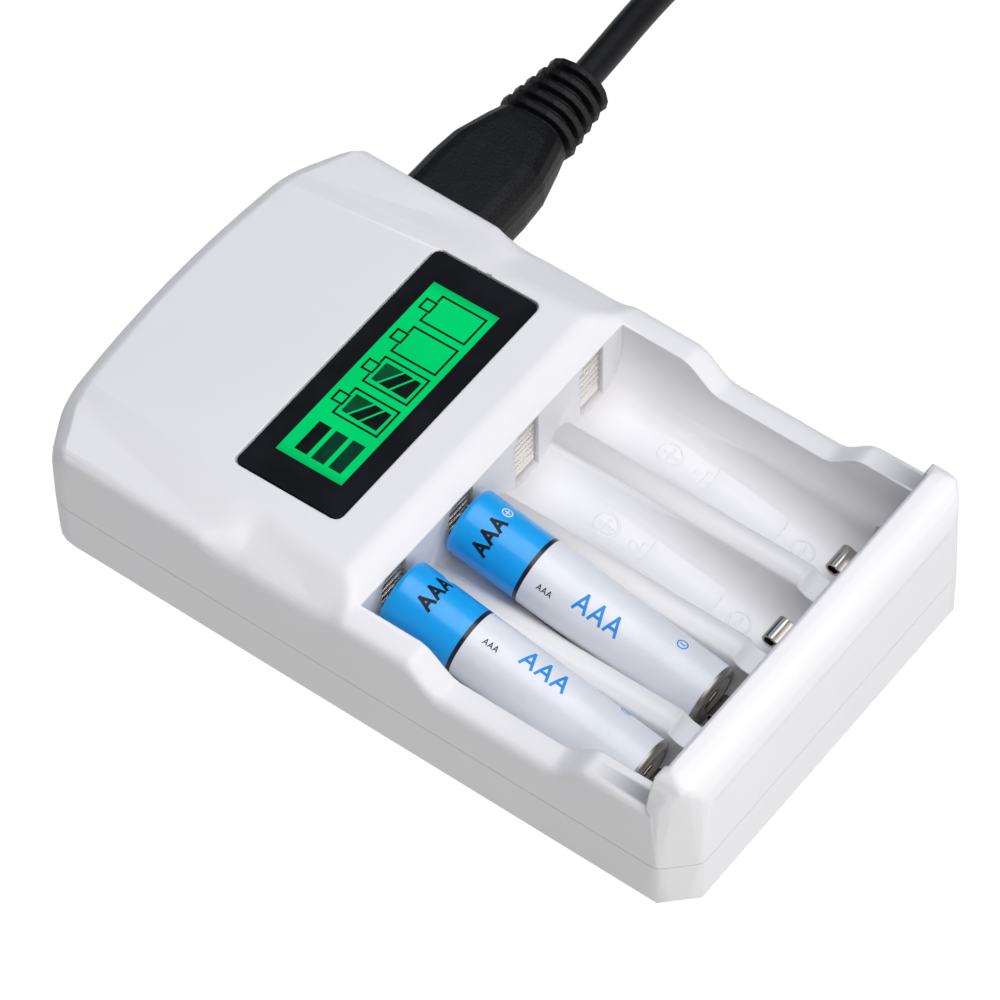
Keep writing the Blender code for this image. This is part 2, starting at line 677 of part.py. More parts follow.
# Display
def build_display():
    head_plate("display_lens", rounded_box(LENS_WIDTH, LENS_DEPTH, LENS_CORNER), 0.0001,
               LENS_THICKNESS, ((0.006, 0.006, 0.007), 0.08, 0.0))
    glass_top = HOUSING_WALL + LENS_THICKNESS + 2 * FIT + 0.0001
    head_plate("lcd_glass", rounded_box(WINDOW_WIDTH + 0.003, WINDOW_DEPTH + 0.003, 0.0004), glass_top, 0.0011, GREEN)
    head_plate("lcd_backlight", rounded_box(WINDOW_WIDTH + 0.003, WINDOW_DEPTH + 0.003, 0.0004),
               glass_top + 0.0011 + FIT, 0.0024, ((0.8, 0.9, 0.8), 0.4, 0.0))


# Negative contacts: one bent strip each, drawn as a centre line in the plane across X
def strip_outline(line, thickness):
    left = []
    right = []
    for i, point in enumerate(line):
        before = Vector(line[max(i - 1, 0)])
        after = Vector(line[min(i + 1, len(line) - 1)])
        along = (after - before).normalized()
        side = Vector((-along.y, along.x)) * thickness / 2
        left.append(tuple(Vector(point) + side))
        right.append(tuple(Vector(point) - side))
    return left + right[::-1]


def contact_line():
    web = BAY_FRONT - 0.0015
    face = CONTACT_UPPER_FACE - STRIP / 2
    line = [(face - 0.0009, 0.0104), (face, 0.0117), (face, 0.0166)]
    line += [(face - 0.0015 + 0.0015 * math.cos(math.radians(a)), 0.0166 + 0.0015 * math.sin(math.radians(a)))
             for a in (30, 60, 90)]
    line += [(web + 0.0007, 0.0181), (web, 0.0174), (web, 0.0080), (web + 0.0005, 0.0074)]
    radius = CONTACT_NOSE_RADIUS - STRIP / 2
    line += [(BAY_FRONT + 0.0035, 0.0074), (SMALL_TROUGH_FRONT - 0.0002, 0.0078)]
    line += [(CONTACT_NOSE + radius * math.cos(math.radians(a)),
              CONTACT_NOSE_HEIGHT + radius * math.sin(math.radians(a))) for a in range(120, -181, -30)]
    return [(from_front(y), z) for y, z in line]


def build_negative_contacts():
    for k, centre in enumerate(BAY_CENTRES):
        name = f"negative_contact_{k + 1}"
        strip = sweep(name, strip_outline(contact_line(), STRIP), "x", -CONTACT_WIDTH / 2, CONTACT_WIDTH / 2,
                      NICKEL, 50)
        web = from_front(BAY_FRONT - 0.0015)
        join(strip, box("flange", -0.0031, 0.0031, web - STRIP / 2, web + STRIP / 2 - 0.00001, 0.0092, 0.0162, NICKEL))
        pressed = CONTACT_PRESSED if k < LOADED_BAYS else 0.0
        strip.location = (centre, -pressed * math.cos(CELL_TILT), -pressed * math.sin(CELL_TILT))
        finish_edges(strip, 40)


# Positive contacts: a ribbed face that stands in the window, a flange behind the wall and a tail to the board
def build_positive_contacts():
    floor = LARGE_TROUGH_AXIS - LARGE_TROUGH_RADIUS
    low = floor + 0.0011
    high = CONTACT_WINDOW_TOP - FIT
    half = WINDOW_HALF - FIT
    back = BAY_REAR + BAY_WALL + FIT
    for k, centre in enumerate(BAY_CENTRES):
        profile = [(back + STRIP, 0.0055), (back + STRIP, high), (POSITIVE_FACE + 0.0004, high)]
        pitch = (high - low - 0.0016) / POSITIVE_RIBS
        for i in range(POSITIVE_RIBS):
            z = high - 0.0004 - i * pitch
            profile += [(POSITIVE_FACE, z), (POSITIVE_FACE, z - pitch * 0.5),
                        (POSITIVE_FACE + 0.00025, z - pitch * 0.65), (POSITIVE_FACE + 0.00025, z - pitch * 0.95)]
        profile += [(POSITIVE_FACE, low + 0.0008), (POSITIVE_FACE + 0.0002, low), (back, low), (back, 0.0055)]
        outline = [(from_front(y), z) for y, z in profile]
        plate = sweep(f"positive_contact_{k + 1}", outline, "x", centre - half, centre + half, NICKEL, 25)
        trim = [(centre - half - 0.001, CONTACT_WINDOW_TOP + 0.002), (centre - half - 0.001, CONTACT_WINDOW_TOP - 0.0021),
                (centre - half, CONTACT_WINDOW_TOP - 0.0019), (centre - half + 0.00085, high),
                (centre - half + 0.00085, CONTACT_WINDOW_TOP + 0.002)]
        cut(plate, sweep("corner", trim, "y", from_front(POSITIVE_FACE) - 0.001, from_front(back) + 0.001))
        for side in (-1, 1):
            edges = sorted((centre + side * 0.0013, centre + side * 0.004))
            cut(plate, box("beside_tail", *edges, from_front(back) - 0.002, from_front(back) + 0.002, 0.004, 0.0092))
        finish_edges(plate, 25)


# Circuit board and what stands on it
def build_board():
    front = from_front(BAY_REAR + BAY_WALL)
    board = box("circuit_board", -BOARD_WIDTH / 2, BOARD_WIDTH / 2, front, front + BOARD_DEPTH,
                BOARD_UNDERSIDE, BOARD_UNDERSIDE + BOARD_THICKNESS, ((0.02, 0.16, 0.07), 0.45, 0.0))
    for k, (x, y) in enumerate(board_posts()[:2]):
        cut(board, rod(f"board_hole_{k}", x, y, 0.0, 0.02, BOARD_SCREW_RADIUS + 0.0005))
        screw = turned(f"board_screw_{k + 1}", [
            (0.0, 0.0), (BOARD_SCREW_RADIUS, 0.0003), (BOARD_SCREW_RADIUS, 0.0038), (BOARD_SCREW_HEAD, 0.0039),
            (BOARD_SCREW_HEAD, 0.0049), (0.0, 0.0054)], NICKEL, 16)
        screw.data.transform(Matrix.Translation((x, y, FLOOR_THICKNESS + 0.0003)))
    top = BOARD_UNDERSIDE + BOARD_THICKNESS + FIT
    rear = front + BOARD_DEPTH
    capacitor_x = board_posts()[1][0] - CAPACITOR_FROM_POST
    left = board_posts()[0][0] + 0.005
    right = capacitor_x - 0.0075
    near = from_front(DISPLAY_FROM_FRONT + WINDOW_DEPTH / 2) + 0.0021
    far = rear - 0.0008
    notch = (near + 0.003, far - 0.003, top + 0.0022, top + 0.0096)
    core = box("transformer", left, right, near, far, top, top + TRANSFORMER_HEIGHT, ((0.75, 0.6, 0.12), 0.5, 0.0))
    cut(core, box("winding_left", left - 0.001, left + WINDING_DEPTH, *notch))
    cut(core, box("winding_right", right - WINDING_DEPTH, right + 0.001, *notch))
    for k, (back, radius, tall) in enumerate(CAPACITORS):
        can = turned(f"filter_capacitor_{k + 1}", [
            (0.0, 0.0), (radius * 0.94, 0.0), (radius, 0.0004), (radius, 0.0012), (radius * 0.93, 0.0016),
            (radius, 0.002), (radius, tall - 0.0004), (radius * 0.93, tall), (0.0, tall)],
            ((0.03, 0.03, 0.05), 0.35, 0.0), 24)
        can.data.transform(Matrix.Translation((capacitor_x, rear - back, top)))
    chip = box("controller_chip", -0.006, 0.006, front + 0.006, front + 0.0115, top, top + 0.0018, BLACK)
    rounded_lead = box("chip_leads", -0.0055, 0.0055, front + 0.0045, front + 0.013, top, top + 0.0004, BLACK)
    join(chip, rounded_lead)
    tube_radius = FUSE_RADIUS - 0.0004
    cap = 0.004
    fuse_line = [(0.0, 0.0), (FUSE_RADIUS, 0.0), (FUSE_RADIUS, cap), (tube_radius, cap + 0.0002),
                 (tube_radius, FUSE_LENGTH - cap - 0.0002), (FUSE_RADIUS, FUSE_LENGTH - cap),
                 (FUSE_RADIUS, FUSE_LENGTH), (0.0, FUSE_LENGTH)]
    fuse = turned("fuse", fuse_line, ((0.75, 0.75, 0.72), 0.2, 0.6), 20)
    fuse.data.transform(Matrix.Translation((0.0035 - BOARD_WIDTH / 2, rear - 0.022, top + FUSE_RADIUS))
                        @ Matrix.Rotation(-math.pi / 2, 4, "X"))


# Mains inlet and its pins
def build_inlet():
    y0 = from_front(INLET_FROM_FRONT)
    outer = [(y0 + a, INLET_HEIGHT + b) for a, b in rounded_box(INLET_WIDTH, INLET_TALL, 0.0017)]
    face = HALF_WIDTH - 0.0002
    back = face - NOSE_LENGTH - 0.0035
    socket = sweep("inlet_socket", outer, "x", back, face, BLACK)
    hollow = [(y0 + a, INLET_HEIGHT + b) for a, b in figure_eight(NOSE_WIDTH + 2 * FIT, NOSE_TALL + 2 * FIT)]
    cut(socket, sweep("hollow", hollow, "x", face - NOSE_LENGTH - 2 * FIT, face + 0.001))
    for side, k in ((-1, 1), (1, 2)):
        y = y0 + side * PIN_SPACING / 2
        cut(socket, sweep("pin_way", [(y + a, INLET_HEIGHT + b) for a, b in arc(0, 0, PIN_RADIUS + FIT, 0, 345, 23)],
                          "x", back - 0.001, face))
        pin = turned(f"inlet_pin_{k}", [(0.0, 0.0), (PIN_RADIUS, 0.0), (PIN_RADIUS, 0.0106), (PIN_RADIUS * 0.6, 0.0114),
                                        (0.0, 0.0116)], NICKEL, 18)
        pin.data.transform(Matrix.Translation((back - 0.002, y, INLET_HEIGHT)) @ Matrix.Rotation(math.pi / 2, 4, "Y"))
    finish_edges(socket)


# Mains coupler: nose, body, neck and ribbed strain relief in one moulding
def build_coupler():
    y0 = from_front(INLET_FROM_FRONT)

    def ring(x, width, tall, roundness):
        outline = rounded_box(width, tall, roundness * min(width, tall) / 2, 4)
        return [Vector((x, y0 + a, INLET_HEIGHT + b)) for a, b in outline]

    sections = [(COUPLER_FACE, 0.95, 0.95, 0.7), (COUPLER_FACE + 0.0006, 1.0, 1.0, 0.7), (0.044, 1.0, 1.0, 0.7),
                (0.049, 0.96, 0.985, 0.72), (0.0545, 0.8, 0.95, 0.85), (COUPLER_END, 0.72, 0.9, 0.95)]
    rings = [ring(x, COUPLER_WIDTH * w, COUPLER_TALL * t, r) for x, w, t, r in sections]
    pitch = (RELIEF_END - COUPLER_END) / RELIEF_RIBS
    for i in range(RELIEF_RIBS):
        width = mix(0.0135, 0.0108, i / (RELIEF_RIBS - 1))
        tall = mix(0.0098, 0.0092, i / (RELIEF_RIBS - 1))
        x = COUPLER_END + i * pitch
        rings.append(ring(x + pitch * 0.12, width - 0.003, tall - 0.0024, 0.99))
        rings.append(ring(x + pitch * 0.3, width - 0.003, tall - 0.0024, 0.99))
        rings.append(ring(x + pitch * 0.42, width - 0.0004, tall - 0.0004, 0.99))
        rings.append(ring(x + pitch * 0.8, width, tall, 0.99))
        rings.append(ring(x + pitch, width - 0.0012, tall - 0.0012, 0.99))
    plug = loft("coupler_plug", rings, BLACK)
    nose = [(y0 + a, INLET_HEIGHT + b) for a, b in figure_eight(NOSE_WIDTH, NOSE_TALL)]
    join(plug, sweep("nose", nose, "x", COUPLER_FACE - NOSE_LENGTH, COUPLER_FACE + 0.001, BLACK))
    for side in (-1, 1):
        y = y0 + side * PIN_SPACING / 2
        cut(plug, sweep("pin_hole", [(y + a, INLET_HEIGHT + b) for a, b in arc(0, 0, PIN_RADIUS + FIT, 0, 345, 23)],
                        "x", COUPLER_FACE - NOSE_LENGTH - 0.001, COUPLER_FACE + 0.003))
    finish_edges(plug)


# Cells: turned about their own axis, then tilted into the small troughs
def build_cells():
    body = CELL_LENGTH - CELL_BUTTON_HEIGHT
    profile = [(0.0, 0.0), (CELL_RADIUS - 0.0006, 0.0), (CELL_RADIUS - 0.0001, 0.0004), (CELL_RADIUS, 0.0009),
               (CELL_RADIUS, body - 0.0008), (CELL_RADIUS - 0.0005, body - 0.0001), (CELL_RADIUS - 0.0009, body),
               (CELL_BUTTON_RADIUS + 0.0007, body), (CELL_BUTTON_RADIUS, body + 0.0002),
               (CELL_BUTTON_RADIUS, CELL_LENGTH - 0.0002), (CELL_BUTTON_RADIUS - 0.0003, CELL_LENGTH),
               (0.0, CELL_LENGTH)]
    for k in range(LOADED_BAYS):
        cell = turned(f"aaa_cell_{k + 1}", profile, ((0.55, 0.75, 0.95), 0.3, 0.0), 32)
        cell.rotation_euler = (CELL_TILT - math.pi / 2, 0, 0)
        cell.location = (BAY_CENTRES[k], from_front(CELL_FRONT), CELL_FRONT_HEIGHT)


def ring_solid(name, section, look, steps=64):
    bm = bmesh.new()
    loops = []
    for i in range(steps):
        angle = 2 * math.pi * i / steps
        loops.append([bm.verts.new((r * math.cos(angle), r * math.sin(angle), z)) for r, z in section])
    for i in range(steps):
        here, after = loops[i], loops[(i + 1) % steps]
        for k in range(len(section)):
            m = (k + 1) % len(section)
            bm.faces.new((here[k], here[m], after[m], after[k]))
    return solid(name, bm, look)


# Mains lead: a free stretch, a wound coil with its tie, and the wall plug on a short end
def smooth_path(points, steps):
    path = []
    for i in range(len(points) - 1):
        p0 = Vector(points[max(i - 1, 0)])
        p1 = Vector(points[i])
        p2 = Vector(points[i + 1])
        p3 = Vector(points[min(i + 2, len(points) - 1)])
        for k in range(steps):
            t = k / steps
            path.append(0.5 * (2 * p1 + (p2 - p0) * t + (2 * p0 - 5 * p1 + 4 * p2 - p3) * t * t
                               + (3 * p1 - p0 - 3 * p2 + p3) * t ** 3))
    path.append(Vector(points[-1]))
    return path


def tube(name, path, diameter):
    curve = bpy.data.curves.new(name, "CURVE")
    curve.dimensions = "3D"
    line = curve.splines.new("POLY")
    line.points.add(len(path) - 1)
    for point, place in zip(line.points, path):
        point.co = (*place, 1.0)
    curve.bevel_depth = diameter / 2
    curve.bevel_resolution = 2
    curve.use_fill_caps = True
    return new_object(name, curve, BLACK)


# The cord comes down to the table, meets the coil at the outside of its lowest turn and
# leaves it from the outside of its top one
def build_lead():
    y0 = from_front(INLET_FROM_FRONT)
    meet = y0 + 0.0014
    coil_along = meet - COIL_RADIUS - (COIL_TURNS_ACROSS - 1) * CORD_DIAMETER / 2
    outer_turn = meet - coil_along
    route = [(RELIEF_END + FIT, y0, INLET_HEIGHT), (0.076, y0 + 0.0003, 0.0108), (0.083, y0 + 0.0007, 0.01075),
             (0.090, y0 + 0.0011, 0.0103), (0.097, y0 + 0.0015, 0.0091), (0.1046, y0 + 0.0019, 0.0072),
             (0.1125, y0 + 0.0022, 0.005), (0.1205, y0 + 0.0022, 0.0034), (0.129, y0 + 0.0018, 0.0026),
             (COIL_ACROSS - 0.0187, meet, 0.0027)]
    tube("mains_cord", smooth_path(route, 2), CORD_DIAMETER)

    inner = COIL_RADIUS - COIL_TURNS_ACROSS * CORD_DIAMETER / 2
    outer = COIL_RADIUS + COIL_TURNS_ACROSS * CORD_DIAMETER / 2
    top = COIL_LIFT + COIL_LAYERS * CORD_DIAMETER
    edge = CORD_DIAMETER * 0.3
    section = [(inner, COIL_LIFT + edge), (inner + edge, COIL_LIFT), (outer - edge, COIL_LIFT),
               (outer, COIL_LIFT + edge), (outer, top - edge), (outer - edge, top), (inner + edge, top),
               (inner, top - edge)]
    coil = ring_solid("cord_coil", section, BLACK, 56)
    coil.location = (COIL_ACROSS, coil_along, 0.0)

    band = 0.0005
    hole_in = inner - 0.0012
    hole_out = outer + FIT
    tie = box("cord_tie", hole_in - band, hole_out + band, -0.004, 0.004, 0.0, top + FIT + band, BLACK)
    cut(tie, box("tie_hole", hole_in, hole_out, -0.01, 0.01, band, top + FIT))
    tie.location = (COIL_ACROSS, coil_along, 0.0)

    def off_coil(reach):
        return (COIL_ACROSS + outer_turn * math.cos(LEAVE_ANGLE) + reach * math.sin(LEAVE_ANGLE),
                coil_along + outer_turn * math.sin(LEAVE_ANGLE) - reach * math.cos(LEAVE_ANGLE))

    high = top - CORD_DIAMETER / 2
    tail = [(*off_coil(0.0187), high - 0.0003), (*off_coil(0.0222), high - 0.0005),
            (PLUG_RELIEF_END + 0.0115, PLUG_ALONG + 0.0009, PLUG_HEIGHT + 0.0004),
            (PLUG_RELIEF_END + 0.0065, PLUG_ALONG, PLUG_HEIGHT + 0.0001),
            (PLUG_RELIEF_END + FIT, PLUG_ALONG, PLUG_HEIGHT)]
    tube("mains_cord_end", smooth_path(tail, 4), CORD_DIAMETER)

    def ring(x, width, tall, roundness):
        return [Vector((x, PLUG_ALONG + a, PLUG_HEIGHT + b))
                for a, b in rounded_box(width, tall, roundness * min(width, tall) / 2)]

    rings = [ring(PLUG_RELIEF_END, 0.0072, 0.0072, 0.99), ring(PLUG_BODY_END + 0.002, 0.0092, 0.0092, 0.99),
             ring(PLUG_BODY_END, 0.012, 0.0108, 0.8), ring(PLUG_BODY_END - 0.005, 0.0185, PLUG_TALL, 0.5),
             ring(PLUG_BODY_END - 0.009, PLUG_WIDTH, PLUG_TALL, 0.4),
             ring(PLUG_FACE + 0.0008, PLUG_WIDTH, PLUG_TALL, 0.4),
             ring(PLUG_FACE, PLUG_WIDTH - 0.0012, PLUG_TALL - 0.0012, 0.4)]
    plug = loft("wall_plug", rings, BLACK)
    for side, k in ((-1, 1), (1, 2)):
        y = PLUG_ALONG + side * BLADE_SPACING / 2
        half = BLADE_THICKNESS / 2
        cut(plug, box("slot", PLUG_FACE - 0.001, PLUG_FACE + 0.0043, y - half - FIT, y + half + FIT,
                      PLUG_HEIGHT - BLADE_TALL / 2 - FIT, PLUG_HEIGHT + BLADE_TALL / 2 + FIT))
        outline = [(PLUG_FACE + 0.004, -BLADE_TALL / 2), (PLUG_FACE + 0.004, BLADE_TALL / 2),
                   (PLUG_FACE - BLADE_LENGTH + 0.0012, BLADE_TALL / 2),
                   (PLUG_FACE - BLADE_LENGTH, BLADE_TALL / 2 - 0.0016),
                   (PLUG_FACE - BLADE_LENGTH, 0.0016 - BLADE_TALL / 2),
                   (PLUG_FACE - BLADE_LENGTH + 0.0012, -BLADE_TALL / 2)]
        rings = [[Vector((x, y + s * half, PLUG_HEIGHT + z)) for x, z in outline] for s in (-1, 1)]
        loft(f"wall_plug_blade_{k}", rings, NICKEL)
    finish_edges(plug)


build_top_shell()
build_bottom_cover()
build_housing_screws()
build_display()
build_negative_contacts()
build_positive_contacts()
build_board()
build_inlet()
build_coupler()
build_cells()
build_lead()
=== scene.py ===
import math

import bmesh
import bpy
from mathutils import Matrix, Quaternion, Vector


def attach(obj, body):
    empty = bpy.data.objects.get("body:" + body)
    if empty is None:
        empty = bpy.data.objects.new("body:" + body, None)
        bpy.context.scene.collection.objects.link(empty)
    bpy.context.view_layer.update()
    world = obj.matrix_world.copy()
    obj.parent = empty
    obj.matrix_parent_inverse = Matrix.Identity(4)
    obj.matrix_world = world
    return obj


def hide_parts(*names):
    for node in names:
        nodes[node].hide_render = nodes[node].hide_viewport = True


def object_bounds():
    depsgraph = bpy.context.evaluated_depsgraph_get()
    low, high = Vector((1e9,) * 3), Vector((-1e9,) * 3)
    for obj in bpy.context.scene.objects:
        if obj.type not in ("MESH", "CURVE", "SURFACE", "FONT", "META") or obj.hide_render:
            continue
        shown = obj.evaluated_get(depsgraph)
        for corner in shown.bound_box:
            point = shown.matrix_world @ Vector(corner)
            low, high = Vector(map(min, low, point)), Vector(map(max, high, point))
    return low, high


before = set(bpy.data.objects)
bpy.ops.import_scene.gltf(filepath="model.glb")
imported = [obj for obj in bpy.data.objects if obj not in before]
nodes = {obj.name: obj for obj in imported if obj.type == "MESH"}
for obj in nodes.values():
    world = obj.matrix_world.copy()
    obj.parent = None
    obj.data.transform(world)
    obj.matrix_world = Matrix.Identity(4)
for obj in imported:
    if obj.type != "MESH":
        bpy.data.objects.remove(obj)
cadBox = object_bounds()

scene = bpy.context.scene

# What several pieces share, in metres. The dictionaries below hold millimetres, or metres with mm.
mm = 0.001
perMetre = 1000  # turns a shader's metres into millimetres
frontY = -0.058  # the housing's front face; the underside is at z = 0
bayPlaces = [-0.0228, -0.0076, 0.0076, 0.0228]
cellTilt = 11.06  # degrees by which a loaded cell and the contact in front of it lean


# Camera: stands over the near left corner with a long lens, as in the photograph
view = {
    "place": (-0.46935, -0.36841, 0.81415),  # in metres
    "turn": (2.269, -1.141, 0.359),  # rotation vector of the view, x right and y down
    "focal": 258.05,
    "sensor": 36,
    "sight": 10,  # how far it sees, in metres
}


def makeCamera():
    data = bpy.data.cameras.new("photoCamera")
    data.lens = view["focal"]
    data.sensor_width = view["sensor"]
    data.clip_end = view["sight"]
    camera = bpy.data.objects.new("photoCamera", data)
    scene.collection.objects.link(camera)
    turn = Vector(view["turn"])
    rows = Quaternion(turn.normalized(), turn.length).to_matrix()
    facing = Matrix((rows[0], -rows[1], -rows[2])).transposed().to_4x4()
    camera.matrix_world = Matrix.Translation(view["place"]) @ facing
    scene.camera = camera
    print("camera set")


makeCamera()


# Mesh helpers: every piece is made where it lies, so its object stays at the origin
def linked(name, data, body="charger"):
    piece = bpy.data.objects.new(name, data)
    scene.collection.objects.link(piece)
    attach(piece, body)
    return piece


def meshPiece(name, bm, body="charger", sharp=35, smooth=True):
    bmesh.ops.recalc_face_normals(bm, faces=bm.faces)
    data = bpy.data.meshes.new(name)
    bm.to_mesh(data)
    bm.free()
    if smooth:
        data.shade_smooth()
        data.set_sharp_from_angle(angle=math.radians(sharp))
    return linked(name, data, body)


def skin(bm, rows, around=True):  # faces between neighbouring rows, where a row of one vertex is a pole
    for low, high in zip(rows, rows[1:]):
        count = max(len(low), len(high))
        for i in range(count if around else count - 1):
            j = (i + 1) % count
            corners = (low[i % len(low)], low[j % len(low)], high[j % len(high)], high[i % len(high)])
            bm.faces.new(list(dict.fromkeys(corners)))


def between(a, b, t):
    return a + (b - a) * t


def eased(t):
    t = min(max(t, 0.0), 1.0)
    return t * t * (3 - 2 * t)


def arc(middle, radius, angles):
    return [(middle[0] + radius * math.cos(math.radians(a)), middle[1] + radius * math.sin(math.radians(a)))
            for a in angles]


def ringOutline(radius, steps):
    return [(radius * math.cos(2 * math.pi * i / steps), radius * math.sin(2 * math.pi * i / steps))
            for i in range(steps)]


def numbered(stem, count):
    return [f"{stem}_{i}" for i in range(1, count + 1)]


# Mains lead: down to the table, a coil in two layers, and a short end to the plug
lead = {
    "diameter": 4.8 * mm,
    "start": (69.3 * mm, 36.0 * mm, 10.8 * mm),
    "free": [(76, 36.3, 10.8), (83, 36.7, 10.75), (90, 37.1, 10.3), (97, 37.5, 9.1), (104.6, 37.9, 7.2),
             (112.5, 38.2, 5.0), (120.5, 38.2, 3.4), (129, 37.8, 2.6), (143.7, 37.4, 2.7), (154, 37.4, 3.0)],
    "coilCentre": (163.0 * mm, 3.8 * mm),
    "turnRadii": (33.6 * mm, 28.8 * mm, 24.0 * mm),
    "layers": (3.2 * mm, 8.0 * mm),
    # each lap: radius at its start and end (0 outer, 2 inner) and where in the lap it changes, in degrees
    "laps": [(0, 1, 270, 360), (1, 2, 270, 360), (2, 2, 200, 290), (2, 1, 130, 220), (1, 0, 130, 220),
             (0, 0, 0, 1)],
    "climb": 2,  # the lap in which it rises to the upper layer
    "turned": 1935,  # degrees, from the far side where the lead comes in
    "degreesPerPoint": 10,
    "tail": [(179.7, -27.0, 8.0), (173.0, -33.75, 7.7), (168.9, -36.9, 7.4), (164.0, -38.9, 7.1),
             (158.9, -39.6, 6.8), (155.5, -39.6, 6.65), (152.3, -39.6, 6.6)],
    "smoothing": (4, 3),  # points for each stretch of the free length and of the tail
    "roundness": 6,
}


def coilPlace(turned):
    count, lap = turned // 360, turned % 360
    before, after, start, end = lead["laps"][count]
    across = eased((lap - start) / (end - start))
    radius = between(lead["turnRadii"][before], lead["turnRadii"][after], across)
    low, high = lead["layers"]
    height = between(low, high, across if count == lead["climb"] else count > lead["climb"])
    angle = math.radians(90 - turned)
    x, y = lead["coilCentre"]
    return (x + radius * math.cos(angle), y + radius * math.sin(angle), height)


def rounded(points, steps):  # a smooth curve through all points
    path = []
    for i in range(len(points) - 1):
        a, b, c, d = [Vector(points[min(max(k, 0), len(points) - 1)]) for k in (i - 1, i, i + 1, i + 2)]
        for k in range(steps):
            t = k / steps
            path.append(0.5 * (2 * b + (c - a) * t + (2 * a - 5 * b + 4 * c - d) * t * t
                               + (3 * b - a - 3 * c + d) * t ** 3))
    return path + [Vector(points[-1])]


def leadPath():
    free, tail = [[tuple(v * mm for v in point) for point in lead[part]] for part in ("free", "tail")]
    coil = [coilPlace(turned) for turned in range(0, lead["turned"] + 1, lead["degreesPerPoint"])]
    freeSteps, tailSteps = lead["smoothing"]
    return (rounded([lead["start"]] + free + coil[:1], freeSteps)[:-1] + [Vector(place) for place in coil]
            + rounded(coil[-1:] + tail, tailSteps)[1:])


def makeLead():
    path = leadPath()
    curve = bpy.data.curves.new("mainsLead", "CURVE")
    curve.dimensions = "3D"
    line = curve.splines.new("POLY")
    line.points.add(len(path) - 1)
    for point, place in zip(line.points, path):
        point.co = (*place, 1.0)
        point.radius = lead["diameter"] / 2
    curve.bevel_depth = 1.0  # times each point's radius
    curve.bevel_resolution = lead["roundness"]
    curve.use_fill_caps = True
    piece = linked("mainsLead", curve)
    length = sum((b - a).length for a, b in zip(path, path[1:]))
    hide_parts("mains_cord", "cord_coil", "mains_cord_end")
    print("lead laid, length", round(length, 3))
    return piece


leadPiece = makeLead()


# Shader writing: a Wire is a value that takes part in Python sums, a Recipe is one material
bevelSamples = 6


class Wire:
    def __init__(self, recipe, socket):
        self.recipe = recipe
        self.socket = socket

    def maths(self, operation, *values):
        return self.recipe.node("Math", {"operation": operation}, dict(enumerate(values)))

    def __add__(self, other):
        return self.maths("ADD", self, other)

    def __radd__(self, other):
        return self.maths("ADD", other, self)

    def __sub__(self, other):
        return self.maths("SUBTRACT", self, other)

    def __rsub__(self, other):
        return self.maths("SUBTRACT", other, self)

    def __mul__(self, other):
        return self.maths("MULTIPLY", self, other)

    def __rmul__(self, other):
        return self.maths("MULTIPLY", other, self)

    def __mod__(self, other):
        return self.maths("FLOORED_MODULO", self, other)

    def __rmod__(self, other):
        return self.maths("FLOORED_MODULO", other, self)

    def __lt__(self, other):
        return self.maths("LESS_THAN", self, other)

    def __gt__(self, other):
        return self.maths("GREATER_THAN", self, other)

    def __abs__(self):
        return self.maths("ABSOLUTE", self)

    def ramped(self, low, high):  # 0 below low and 1 above high, with a soft change between
        return self.recipe.node("MapRange", {"clamp": True, "interpolation_type": "SMOOTHSTEP"},
                                {"Value": self, "From Min": low, "From Max": high})


class Recipe:
    def __init__(self, name, **constants):
        self.material = bpy.data.materials.new(name)
        self.material.use_nodes = True
        self.tree = self.material.node_tree
        self.shader = self.tree.nodes["Principled BSDF"]
        self.set(**constants)

    def set(self, **sockets):  # a socket's name with underscores for its blanks
        for name, value in sockets.items():
            self.fill(self.shader.inputs[name.replace("_", " ")], value)

    def fill(self, socket, value):
        if isinstance(value, Wire):
            self.tree.links.new(value.socket, socket)
        elif isinstance(value, tuple) and len(value) == 3 and socket.type == "RGBA":
            socket.default_value = (*value, 1.0)
        else:
            socket.default_value = value

    def node(self, kind, settings=None, values=None, out=0):
        made = self.tree.nodes.new("ShaderNode" + kind)
        for key, setting in (settings or {}).items():
            setattr(made, key, setting)
        for key, value in (values or {}).items():
            self.fill(made.inputs[key], value)
        return Wire(self, made.outputs[out])

    def place(self):
        return self.node("TexCoord", out="Object")

    def axes(self):  # x, y and z of the place, in metres
        split = self.node("SeparateXYZ", None, {0: self.place()})
        return [Wire(self, output) for output in split.socket.node.outputs]

    def noise(self, scale, detail=3.0, roughness=0.55):
        return self.node("TexNoise", None, {"Vector": self.place(), "Scale": scale, "Detail": detail,
                                            "Roughness": roughness}, out="Fac")

    def blend(self, mask, first, second):
        made = self.node("Mix", {"data_type": "RGBA"}, {"Factor": mask}).socket.node
        self.fill(made.inputs[6], first)
        self.fill(made.inputs[7], second)
        return Wire(self, made.outputs[2])

    def mottled(self, colours, scale, limits=None, detail=3.0):  # two colours in soft clouds
        cloud = self.noise(scale, detail)
        return self.blend(cloud.ramped(*limits) if limits else cloud, *colours)

    def bump(self, height, strength, distance, normal=None):
        values = {"Height": height, "Strength": strength, "Distance": distance}
        if normal:
            values["Normal"] = normal
        return self.node("Bump", None, values)

    def softEdges(self, radius):
        return self.node("Bevel", {"samples": bevelSamples}, {"Radius": radius})


def dress(material, *names):
    for name in names:
        piece = nodes[name] if isinstance(name, str) else name
        if not piece.material_slots:
            piece.data.materials.append(material)
        for place in piece.material_slots:
            place.material = material


def makeInk(name, colours, scale, limits, roughness, specular):
    look = Recipe(name, Roughness=roughness, Specular_IOR_Level=specular)
    look.set(Base_Color=look.mottled(colours, scale, limits))
    return look.material


